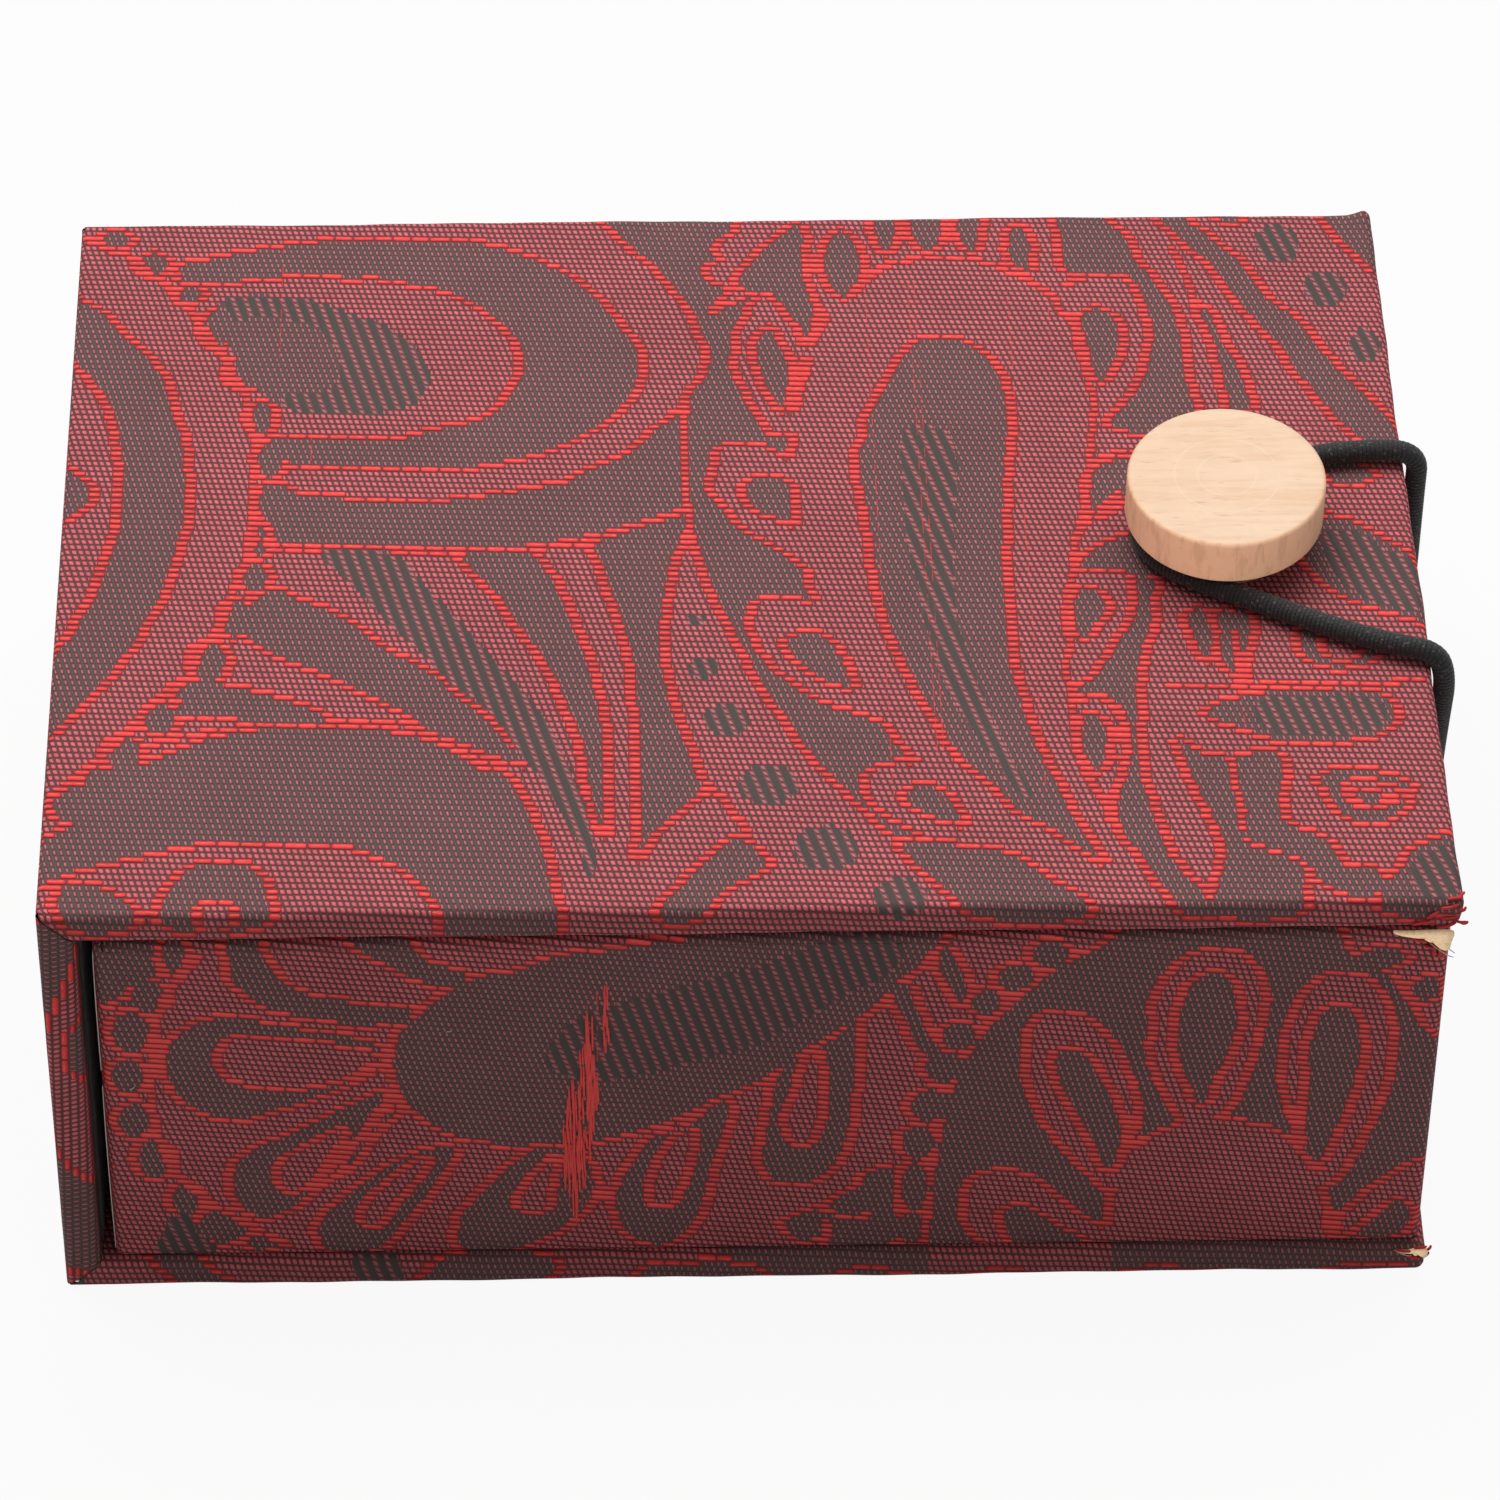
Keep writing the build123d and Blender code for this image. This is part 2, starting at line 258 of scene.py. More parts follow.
# The brocade's pattern: closed shapes and lines in mm, painted in this order over a red ground.
# Flat lists hold x, y, x, y, on the cover's top; ellipses hold centre and half sizes.
red, dark, satin, outline, plain = 0, 1, 2, 3, 4
coverShapes = {
    "bandOuter": (dark, [
        -55, 42.5, -52.9, 43.3, -49.7, 44.3, -45.3, 45.4, -42.2, 46, -38.3, 46.5, -34, 46.4, -27, 46, -23.4, 45.1,
        -20, 43.5, -17, 41.4, -15.1, 39.6, -13.7, 37.7, -12.4, 35.7, -11.3, 33.5, -10.2, 31.3, -9.3, 29.4,
        -9.1, 26.7, -9.3, 24.2, -10.2, 21.7, -11.3, 19.8, -12.9, 17.9, -15.1, 16.1, -18.4, 14, -22, 12.8,
        -24.5, 12.1, -27, 11.7, -32.7, 11.8, -37.4, 12.1, -43.1, 12.5, -44.5, 14.1, -45.5, 16.5, -46.5, 19,
        -47.5, 22, -48.5, 25, -50, 29, -51.5, 33, -53, 36.5, -54.5, 39.5]),
    "bandInner": (red, [
        -55.4, 40.4, -52.1, 39.8, -48.1, 40.4, -44.8, 40.9, -42.5, 41.1, -38, 40.6, -34.9, 40.5, -32.7, 39.7,
        -29.8, 39, -27.6, 37.7, -25.6, 36.3, -24.2, 34.9, -22.8, 32.9, -21.7, 31.2, -21, 29.3, -20.7, 26.4,
        -21.1, 24.5, -22, 22.5, -23.1, 20.5, -24.8, 18.8, -27, 18, -29.8, 17.2, -32.7, 16, -36.9, 16,
        -42.5, 16.3, -44.8, 16.6, -46.7, 17.2, -47.6, 20.3, -49, 25.3, -50.9, 30.1, -53.8, 36]),
    "bandCore": (plain, [
        -50.1, 37.5, -41.7, 37.1, -38.8, 35.7, -36.6, 34.3, -34.6, 33.5, -32.9, 31.8, -31.3, 29.8, -30.4, 27.6,
        -29.8, 25.6, -30.1, 23.3, -31, 21.4, -32.7, 20.5, -35.2, 19.7, -39.7, 19.7, -43.6, 20.5, -45.3, 21.9,
        -47.5, 25, -49, 29, -50.5, 33, -51, 36]),
    "bandGloss": (satin, [
        -50.1, 37.3, -41.7, 37, -38.8, 35.6, -36.6, 34.2, -34.6, 33.4, -32.9, 31.7, -31.3, 29.7, -30.4, 27.6,
        -29.8, 25.6, -30.1, 23.3, -31, 21.4, -32.7, 20.5, -35.2, 19.8, -39.7, 19.8, -43.5, 20.6, -44.6, 22.3,
        -42, 23, -40, 23.4, -38.7, 25, -38.6, 28, -39.8, 31, -42, 33.5, -45.5, 34.3, -50, 34.6]),
    "underBand": (dark, [
        -44.5, 9.7, -41.8, 7.9, -38.2, 7.5, -36.4, 6.7, -32.6, 6.3, -29.3, 6.6, -26.3, 7.2, -23.4, 7.6, -20, 8.5,
        -16.8, 9.3, -15.1, 10.7, -12.9, 12.1, -11, 13.2, -9.3, 14.8, -8, 16.8, -6.3, 18.4, -5.2, 20.2, -5, 5,
        -6.5, 4, -8, 3.2, -9.5, 2.5, -11, 2, -12.5, 1.5, -15, 1, -18, 0.5, -20, -0.2, -25.1, -0.3, -29.9, -0.3,
        -34.4, -0.6, -37.3, -0.6, -38.2, 0.2, -43, 0.3, -44.2, 0.8, -45, 4]),
    "topField": (dark, [
        -13, 50, -10.7, 46.2, -9.3, 44, -7.4, 41.8, -6.3, 39.6, -4.9, 37.1, -3.8, 34.6, -3.2, 32.5, -1.6, 36,
        -0.3, 38.2, -1.6, 39, -2.7, 40.4, -2.5, 42.1, -1.1, 42.3, -1.6, 44, -1.4, 45.6, 0, 46.7, 0.5, 50]),
    "topHorn": (dark, [
        0.6, 39.3, 1.9, 42.1, 3.3, 44.3, 5, 46.5, 7.2, 48.4, 7.7, 46.2, 7.4, 42.6, 7.7, 39, 8.2, 36.5, 5.5, 37.8,
        3.6, 37.7, 1.9, 38]),
    "river": (dark, [
        -3.2, 32.5, -2.2, 28.9, -2.6, 26.4, -3, 24.5, -4.1, 22.8, -4.6, 20, -4.4, 12, -4.6, 5, -4.2, 1, -3.4, -3,
        -2.5, -7, -1.3, -10.5, -0.2, -14, 1, -17.5, 2.2, -21, 3.7, -24, 5, -27, 6.5, -30, 8, -32.3, 9.8, -35,
        11.5, -37.5, 13, -39.5, 14.5, -40.5, 16, -31, 14.3, -28, 13, -25, 11.5, -21, 10, -17.5, 8.8, -13.5,
        7.4, -9.5, 6.4, -6, 6.4, -2, 6.2, 2, 5.8, 6, 5.4, 10, 5.2, 14, 5.6, 17, 6, 22, 7, 26, 7.4, 29.4, 8, 32,
        8.3, 35, 8, 37, 5.5, 38.3, 3.6, 38, 1, 36.5, -1, 35]),
    "petal1": (red, [
        3.6, 37.7, 1.9, 36.3, 1.1, 34.1, 0.3, 31.9, 0, 28.6, 0, 25.6, 0.8, 23.1, 1.4, 20.6, 2.5, 17.9, 3.6, 15.4,
        5.5, 16.5, 5.5, 19.8, 5.8, 22.8, 6.6, 25.8, 7.2, 28.6, 6.9, 31.6, 6.1, 33.5, 5, 35.7]),
    "petal1Core": (dark, [
        3.9, 32.4, 2.5, 30.5, 2.2, 27.8, 2.8, 24.7, 3.6, 22, 4.7, 19.2, 5.5, 23.4, 5.5, 27.5, 4.4, 30.8]),
    "petal2": (red, [
        -3, 8, -2.5, 11, -2.2, 14, -0.3, 15.1, 1.9, 15.3, 3.6, 14, 5, 12.9, 6.5, 11, 6.5, 0, 6.7, -4.3, 5, -2,
        3.5, -0.5, 2, 0.8, 0.5, 2.2, -0.6, 3.6, -1.3, 5.2, -2.3, 7]),
    "petal2Core": (dark, [0.7, 8.6, 1.6, 9.5, 3.9, 9.7, 5.1, 8.8, 5.3, 5.5, 5.3, 3, 3.6, 3.9, 2, 4.8, 1, 6.5]),
    "petal3": (red, [
        0.7, -9.3, 1.2, -7.8, 2.6, -7, 4.2, -6.8, 6, -7.6, 7.6, -9, 8.8, -13.5, 10, -17.5, 11.5, -21, 13, -25,
        10.5, -23.7, 8, -22.6, 6, -21, 4.5, -19.3, 3, -17.6, 1.7, -15.3, 0.8, -13, 0.4, -11]),
    "petal3Core": (dark, [
        4.2, -13.3, 5.6, -12.6, 7.6, -12.8, 8.9, -14.2, 9.3, -16, 10, -18, 10.2, -20, 8.6, -19.6, 7, -18.6,
        5.6, -17, 4.6, -15.3]),
    "petal4": (red, [
        10.7, -34.5, 10.7, -32, 12, -30.6, 14.2, -29.8, 16.2, -30.4, 18, -33, 20.3, -37, 21.5, -40, 20, -40.5,
        17, -40.2, 15, -39.5, 13, -38, 11.5, -36.3]),
    "petal4Core": (dark, [
        14.4, -35, 15, -33.8, 17, -33.4, 18.6, -34.6, 19.4, -36.5, 19.8, -38.4, 18, -38, 16.3, -37, 15, -36]),
    "tallPaisley": (dark, [
        20, 30.6, 18.4, 30, 17.3, 28.6, 16.2, 26.7, 15.4, 24.7, 14.6, 22.8, 13.8, 20.6, 12.9, 18.4, 12.7, 15.9,
        11.8, 13.7, 12, 8, 12.5, 3.1, 12.9, -3.4, 13.6, -9.8, 15.7, -18.4, 17.9, -24.8, 20, -29.8, 22.5, -33,
        25, -37, 28, -39.5, 30.5, -42, 32, -43.6, 32.3, -43.5, 31.5, -41, 30.3, -38, 29.3, -35, 28.5, -32,
        27.5, -29, 26.7, -25, 25.8, -20, 25.3, -15, 25.3, -10, 25.2, -5, 25.5, 0, 25.7, 3.1, 26.1, 9.5,
        26.8, 17.4, 26.4, 24.5, 23.6, 29.5]),
    "tallPaisleyGloss": (satin, [
        17, 17, 20.5, 16.5, 21.5, 12, 21, 5, 20.6, -2, 20.3, -9, 21.2, -15, 22.2, -20, 23.6, -26, 25, -31,
        26.4, -35.5, 25, -34.5, 23, -30, 21, -25.5, 19.3, -21, 17.8, -15, 17.2, -8, 16.3, -1, 16, 6, 16.1, 12]),
    "stripe1": (dark, [14.9, 50, 15, 45, 15.8, 43.4, 16.6, 45, 16.6, 50]),
    "stripe2": (dark, [18.8, 50, 18.8, 45, 20, 43.8, 21.2, 45, 21.2, 50]),
    "stripe3": (dark, [23.6, 50, 23.6, 44.5, 24.6, 43.6, 25.2, 45.5, 25.2, 50]),
    "stripe4": (dark, [28, 44.5, 28.4, 47, 29.4, 47.8, 30.3, 46, 30.4, 43, 30, 40.5, 28.6, 41.6, 28, 43]),
    "rearLeaf": (dark, [
        33.3, 50, 33.5, 45, 33.6, 41, 34.5, 39.9, 37, 40.4, 39.3, 40.2, 40.4, 38.6, 41, 36.5, 41.4, 34,
        41.8, 31.5, 41.3, 28.5, 40.8, 26, 40.2, 24, 39.3, 22, 38.2, 20, 37, 18.5, 36.7, 17, 38, 16.3, 40, 16,
        43, 16, 45, 18, 45.3, 20, 44.9, 23, 44.8, 26, 44.8, 29, 44.4, 33, 43.8, 36, 43, 38, 42, 40, 41, 42,
        40.4, 44.5, 39.7, 46.5, 38.5, 48, 37.5, 50]),
    "petal5Core": (dark, [
        34.6, 33.2, 35.2, 34.3, 36.5, 34.6, 38, 33.8, 38.5, 32, 38.5, 29.5, 38, 27, 37.3, 25, 36.2, 23.6,
        35.5, 25, 35.2, 28, 34.8, 31]),
    "sweep": (dark, [
        42.8, 50, 44.5, 47, 46, 44.5, 47.8, 42, 49, 39, 50.3, 36, 51.5, 33.5, 52.8, 31, 54.3, 28.5, 55.2, 25.5,
        56.3, 23, 57.5, 20.5, 58.8, 18, 60, 16, 61, 14.5, 65, 14, 65, 16, 63.5, 19, 61.8, 22, 60, 25, 58.7, 27.5,
        57.5, 30, 56.5, 32.5, 55, 34.5, 53.8, 36, 53, 38, 52, 40.5, 51, 42.5, 49.5, 44.5, 48, 46.5, 46.8, 48,
        45.8, 50]),
    "innerSweep": (dark, [
        46.5, 35, 47.5, 34.5, 48.2, 32, 48.8, 29.5, 49.8, 27, 50.3, 24, 50.8, 21, 51, 19.5, 48.6, 19.5,
        48.3, 22, 48, 25, 47.8, 28, 47.3, 31, 46.6, 33.5]),
    "rearCorner": (dark, [60, 50, 61, 46.5, 62.5, 43.5, 64, 41, 65, 39.5, 65, 50]),
    "rearNotch": (dark, [49.5, 50, 50, 48, 51.5, 48, 51.8, 50]),
    "petal6Core": (dark, [
        35, 10.8, 38, 12.3, 42, 12, 42, 4, 38, 6.5, 36.5, 5, 35, 3.8, 34.2, 4.5, 33.9, 7, 34.2, 9.5]),
    "petal6Foot": (dark, [
        32.4, -3.5, 33.5, -1.5, 35.5, 0, 37.5, 1.2, 40, 2, 44, 2, 44, -5, 40, -5, 37.5, -5, 36, -3.8, 34, -3.8]),
    "petal7Core": (dark, [
        31.6, -8, 32.3, -7, 34, -7, 34.8, -8.2, 34.6, -10, 33.6, -12, 32.4, -13.6, 31.6, -12.5, 31.5, -10]),
    "rightStrip": (dark, [
        37.8, -5, 39.8, -5.5, 39.2, -8, 39.2, -11, 38.3, -14, 37.6, -17, 37.2, -20, 37, -23, 36.8, -27,
        36.6, -31, 37, -34, 37.5, -37, 38, -40, 38.7, -43, 40, -45.5, 41.5, -48, 42, -50, 39.5, -50,
        37.8, -47.5, 36.5, -44.5, 35.3, -42, 34.3, -39.5, 34, -37, 34.5, -34, 35.4, -31, 35.8, -27,
        35.6, -24.5, 34.8, -22.5, 33, -21.4, 31.2, -21.8, 31.2, -20.6, 33, -19, 34.3, -16.5, 35.6, -14,
        36.8, -11.5, 37.6, -9, 37.6, -6.5]),
    "petal8Core": (dark, [
        31.3, -26.5, 31.6, -24.5, 32.8, -24.2, 33.8, -25.5, 33.8, -28, 33.4, -30.5, 32.5, -32, 31.5, -30,
        31.2, -28]),
    "frondLeft": (dark, [
        40.3, -27.5, 42.5, -29.5, 44.6, -30, 45, -33, 45.3, -36, 45.4, -39, 46, -41.5, 48.5, -43, 50.4, -44,
        51, -46, 50.5, -48, 50.5, -50, 42, -50, 42.3, -47.5, 43, -45, 43.5, -42.5, 43.3, -40, 42.4, -37,
        41.5, -34, 40.8, -31]),
    "frondRight": (dark, [
        45.5, -30.3, 49.5, -29.8, 49.8, -33, 49.3, -36, 49.5, -38.5, 51, -39.8, 53, -41, 54, -43, 55, -44.8,
        57.5, -45, 57.8, -47.5, 56, -49, 54, -48, 52, -46.5, 50.8, -44, 48.5, -42.5, 46, -41, 45.8, -37,
        45.4, -33]),
    "eyeRing": (dark, [
        53, -33, 54.5, -32, 57, -31.8, 60, -33, 61.5, -34, 61, -36, 60, -38, 57.5, -39, 55, -38, 54, -36,
        53.5, -34.5]),
    "eyeWhite": (red, [
        55.2, -34, 57, -32.9, 59.5, -33.8, 60.8, -34.8, 59.8, -36.5, 57.5, -37.3, 55.7, -36.5]),
    "eyeDot": (dark, [56, -35, 58.5, -35, 59, -36, 57, -36.3]),
    "lyingLeaf": (dark, [
        43, -24, 44.5, -22.8, 47, -21.8, 50, -21.2, 54, -21, 58, -21.2, 60.3, -22, 61, -24.5, 60, -26.5,
        58, -27.6, 54, -28, 50.5, -28, 48, -27.2, 46, -26, 44, -25]),
    "lyingLeafGloss": (satin, [
        47.8, -24, 49, -22, 54, -21.8, 58.5, -22, 60.2, -24, 59, -26.5, 54, -27.2, 50, -27, 48.3, -26]),
    "frontCorner": (dark, [
        65, -40.5, 62.5, -41.5, 60.5, -43, 59.5, -45, 58, -47, 57.3, -50, 65, -50]),
    "frontCornerGloss": (satin, [62, -43, 64.5, -42, 64.8, -48, 61, -48.5, 60.5, -45.5]),
    "edgeLeaf": (dark, [
        56, 3, 58, 3.2, 60.5, 1.5, 62.5, -0.5, 64.5, -2.5, 65, -5, 65, -12, 63, -11, 61, -10, 58.5, -8.7,
        56.5, -7, 55, -4.8, 54, -2.5, 55, 0]),
    "edgeLeafGloss": (satin, [
        56.5, 1, 59, 1.5, 62, -1.5, 64.3, -3, 64.5, -10, 61, -9.5, 58.5, -7.5, 56.8, -5, 56, -2]),
    "edgeSeed": (dark, [57, 11, 60, 11, 62, 9.5, 60, 8, 58, 8.3]),
    "comb1": (dark, [42.6, -10, 43.8, -9.5, 44.6, -12, 44.6, -15, 43.8, -17, 42.8, -14.5]),
    "comb2": (dark, [45.4, -10, 46.4, -9.6, 46.6, -14, 46.2, -19, 45.2, -17, 45.2, -13]),
    "comb3": (dark, [46.9, -9.8, 48, -10, 48.3, -13.5, 47.4, -16.5, 47, -20, 46.8, -14]),
    "comb4": (dark, [
        52.8, -13, 54, -12, 54.6, -14.5, 55, -16.5, 57, -17.4, 58.8, -16, 59.5, -13.5, 60.5, -14.5, 59.6, -17,
        57, -18, 54.3, -17.6, 52.8, -15.5]),
    "frontStripe": (dark, [
        20, -41.7, 24, -42.6, 26, -44.2, 28, -46.5, 30, -48, 31, -50, 20, -50, 18, -47.5, 16.5, -45.5,
        15, -43.5, 14, -41.3, 16, -41.2, 18, -41]),
    "arrow": (dark, [
        -1.6, -40.3, 0, -40.8, 1.2, -42.3, 1.8, -43.8, 0.3, -45, -1.5, -46.2, -3, -47.6, -4.5, -50, -8.5, -50,
        -7.5, -47.5, -6, -45.5, -4.5, -43.6, -3, -41.6]),
    "leaf3": (dark, [
        -14, 0.3, -13.2, -3, -12.5, -6, -11.8, -9, -11.2, -12, -10.6, -15, -10.4, -18, -10.2, -22, -10.1, -26,
        -10.1, -30, -10.1, -35, -10.1, -40, -10.3, -43, -9, -40, -7, -37.5, -5.5, -35.5, -3.8, -33.5,
        -4.4, -32, -5.3, -28, -6.5, -23, -7.3, -18, -7.6, -14, -7.2, -8, -6.5, -3, -5, 4.7, -8, 3.2, -11, 2]),
    "leaf2": (dark, [
        -26.6, -1, -24.8, -4.3, -22.8, -7.5, -21.6, -10.2, -20.4, -12.6, -19.3, -14.5, -18.5, -17,
        -17.5, -19.5, -16.8, -22, -15.9, -25, -15.2, -28, -14.9, -31, -14.7, -34, -13.2, -40, -13, -33,
        -13, -29, -13.2, -25, -13.5, -22, -14, -19, -14.5, -16, -15.3, -13, -16, -10, -16.8, -7.5,
        -17.5, -5, -18.8, -2.5, -20, -0.5]),
    "leaf1": (satin, [
        -40, -0.3, -37.6, -4.3, -35.3, -7.8, -32.3, -12.3, -29.9, -15.3, -27.5, -18.9, -24.3, -22.4,
        -22.2, -25.7, -20.8, -29, -19, -32, -17.9, -35, -16.6, -38, -15.4, -41, -14.8, -45, -14.2, -44,
        -14.3, -40, -14.8, -37, -15.4, -34, -16.2, -31, -17.2, -28, -18.3, -25, -19.6, -22, -21, -19.4,
        -23.1, -16.2, -25.1, -12.9, -27.5, -9, -30.2, -4.9, -32.3, -1.3]),
    "darkLeaf": (dark, [
        -44.2, -5.5, -42.4, -6.7, -39.4, -8.4, -36.4, -10.8, -33.8, -13.8, -30.8, -16.2, -28.7, -18,
        -26.9, -20.6, -24.3, -23.3, -22.2, -26.9, -20.4, -29.9, -24, -28.5, -26.5, -27, -29.9, -25.1,
        -31.7, -23, -34.1, -21.2, -37, -19.1, -40, -17.1, -42.7, -15.6, -44.8, -14.1, -46.9, -12, -47.2, -9]),
    "smallLeaf": (dark, [
        -50.7, -18.1, -48.3, -18.9, -46, -19.7, -43, -20.9, -40.3, -22.4, -38.8, -23.6, -43.6, -24.1,
        -46.6, -23.9, -48.6, -23, -53.4, -22.7, -52.5, -20.5]),
    "lens": (dark, [
        -61.1, -31.6, -57, -29.9, -54.6, -28.7, -52.2, -27.2, -50.1, -26.1, -47.2, -25.4, -42.7, -24.5,
        -39.4, -24.1, -35.3, -24.4, -31.4, -24.9, -28.7, -26, -26.3, -27.8, -24, -29.6, -22.2, -31.6,
        -20.7, -34.3, -20, -36.4, -19.8, -37.5, -19, -40, -18.4, -43, -18, -46, -17.8, -52, -28, -52,
        -28.1, -49.2, -29.3, -47.1, -30.5, -45, -32.3, -43.2, -34.4, -41.8, -36.4, -40.6, -39.4, -40,
        -44.2, -39.7, -49.5, -39.8, -53.1, -40.7, -56.1, -41.6, -61.1, -43.2, -65, -45, -65, -40, -62, -37]),
    "lensSeed": (dark, [
        -53.7, -50, -53.1, -45.9, -52.2, -44.4, -50.7, -42.9, -48.3, -42.5, -46, -42.8, -44.5, -44.4,
        -43.9, -46.5, -43.9, -50]),
    "lensSeedCore": (red, [
        -50.7, -48.8, -50, -47.6, -48.6, -47.2, -47.2, -47.8, -46.6, -49, -47, -50.5, -50.5, -50.5]),
    "lensTip": (dark, [
        -63, -46, -62, -45, -59.1, -45.6, -57, -47.1, -55.8, -48.9, -56.5, -50.5, -62, -50.5]),
    "crescent": (dark, [
        -65, 37.4, -63, 36.3, -61.3, 34, -59.9, 31.8, -58, 29.5, -56.8, 27.3, -55.7, 25, -55.2, 22.5,
        -54.6, 19.7, -53.8, 17.4, -53.5, 14.3, -53.1, 9, -53.1, 4.6, -53.5, 1.4, -54.1, -1.9, -54.6, -4.3,
        -55.2, -7.3, -56.4, -10.2, -57.3, -12.9, -58.5, -15.3, -59.6, -17.7, -61.1, -20, -62.9, -23,
        -65, -25.7, -65, -14.7, -63.5, -12, -62.3, -8.4, -61.4, -5.8, -60.7, -2.8, -60.2, 0.2, -59.6, 3.2,
        -59.4, 8, -59.8, 14.3, -60.4, 18, -61.1, 21.1, -62.2, 23.6, -63.6, 26.4, -65, 28.4]),
    "crescentCore": (dark, [-65, 12.7, -63.6, 11, -62.2, 8.5, -63.1, 6.1, -65, 4.3]),
}
coverDots = {
    "stripeDot": (dark, [11.35, 42, 1.6, 4.2]),
    "beads": (dark, [
        -61.5, 46.7, 1.3, 1.2, -57.6, 42.9, 1.4, 1.4, -53.8, 38.1, 1, 1.1, -50.9, 32.9, 1.2, 2.6,
        -48, 26.1, 1.4, 2.1, -46.2, 19.4, 1, 2.1, -45.2, 13.1, 1.1, 2.2, -45.2, 6.9, 0.9, 2.4,
        -45.8, 1.1, 0.8, 1.9, -46.2, -3.9, 1.1, 1.8, -47.9, -9.6, 1.1, 2.2, -50.2, -15.5, 1.4, 2.4,
        -52, -19.5, 1.4, 1.3, -54.6, -23.3, 1.3, 1.6, -57.8, -28, 1.4, 2.1, -60.2, -31.2, 1, 0.8,
        -62.4, -34.6, 1.4, 1.9]),
    "glossDots": (satin, [
        -4.3, -10.4, 1, 1, -3.7, -17.1, 1.5, 1.5, -1.7, -24.3, 2.2, 2.2, 2, -33.1, 2.8, 2.8, 7.1, -41.6, 3, 3,
        13.6, -48, 2.5, 2.5, 55.2, 44.5, 2.3, 3.2, 59.4, 37.5, 2.2, 2.8, 62.7, 28.7, 1.6, 2.6]),
}
coverLines = {
    "chain": [
        -65, 47.3, -63, 46.1, -59.4, 43.6, -57.7, 41.1, -56, 39.7, -55.4, 37.7, -53.8, 36, -52.3, 32.9,
        -50.9, 30.1, -49.8, 28.1, -49, 25.3, -47.8, 23.1, -47.6, 20.3, -47, 17.2, -46.7, 13.5, -46.7, 6.1,
        -46.7, 0.2, -47.5, -2.8, -48.3, -5.5, -48.9, -9, -50.1, -12, -51.3, -14.7, -52.2, -17.7, -54, -19.7,
        -55.8, -21.8, -57.3, -24.5, -59.3, -27.5, -61.1, -29.9, -63.2, -32.5, -65, -34.3],
    "paisleyRim": [
        12.1, 37.4, 13.5, 39.3, 14.9, 41, 16.5, 42.1, 19.3, 42.6, 22, 42.9, 24, 42.6, 26, 41.9, 27.5, 41,
        29, 39.8, 30.5, 38.5, 32, 37, 32.5, 35.8, 33, 34.2, 33.8, 33, 34, 30, 34.5, 27, 35, 24, 35.3, 21,
        35, 17, 34.5, 13, 34.4, 11.5, 34, 8, 33.5, 5, 33, 2.5, 32.3, 0, 32, -3, 31.8, -5, 31, -8, 30.8, -12,
        31, -14.5, 30.5, -17, 30.6, -20, 30.7, -24, 30.8, -28, 31.2, -31, 32, -33.5, 33, -36, 33.3, -38],
    "riverRim": [-5, 20, -5.1, 12, -5, 5],
    "riverRim2": [8.5, 36, 9.4, 34.1, 8.8, 31.9, 7.4, 29.4],
    "leafRim": [44.5, 44, 45.5, 40.5, 46, 37.5, 46.3, 35.5],
    "petal5Rim": [33.5, 38.5, 35, 39.3, 37, 40],
    "petal6Rim": [34.5, 11.5, 36.5, 12.7, 38.5, 13.3],
    "petal6Rim2": [37, 7, 35.5, 5, 34, 3.5, 33, 2],
    "petal8Rim": [30.8, -22.5, 32.5, -21.6, 34.2, -22.3, 35, -24],
    "lyingRim": [40, -20, 45, -20.6, 50, -20.2, 60, -20.3, 64, -19.5],
    "bandRim": [-45.7, 1.2, -41, 0.3, -34.3, 0, -27.3, 0.1, -20.8, 0, -13.8, 1.6, -9, 3.4, -5.4, 5],
    "arcRim": [
        -55.7, -26.9, -54.2, -26.3, -50.3, -25.2, -46.2, -24.7, -40.1, -24.4, -34.4, -24.9, -29.8, -26.1,
        -26.8, -28.1, -23.7, -30.9],
    "arrowRim": [-4, -33.5, -2.5, -34.5, -1.5, -36.5, -0.5, -38.5, 0, -39.8],
}
# Single red warp ends that show as thin lines: x, then from and to along the cover's depth
coverHairs = [
    -44.6, 29, 46, -41.3, 9, 20, 13.5, -35, 45, 17.7, -35, 45, 18.4, -35, 45, 27.7, -35, 45, 31.8, 30, 38,
    46.8, -28, -15, 57, -28, -15]

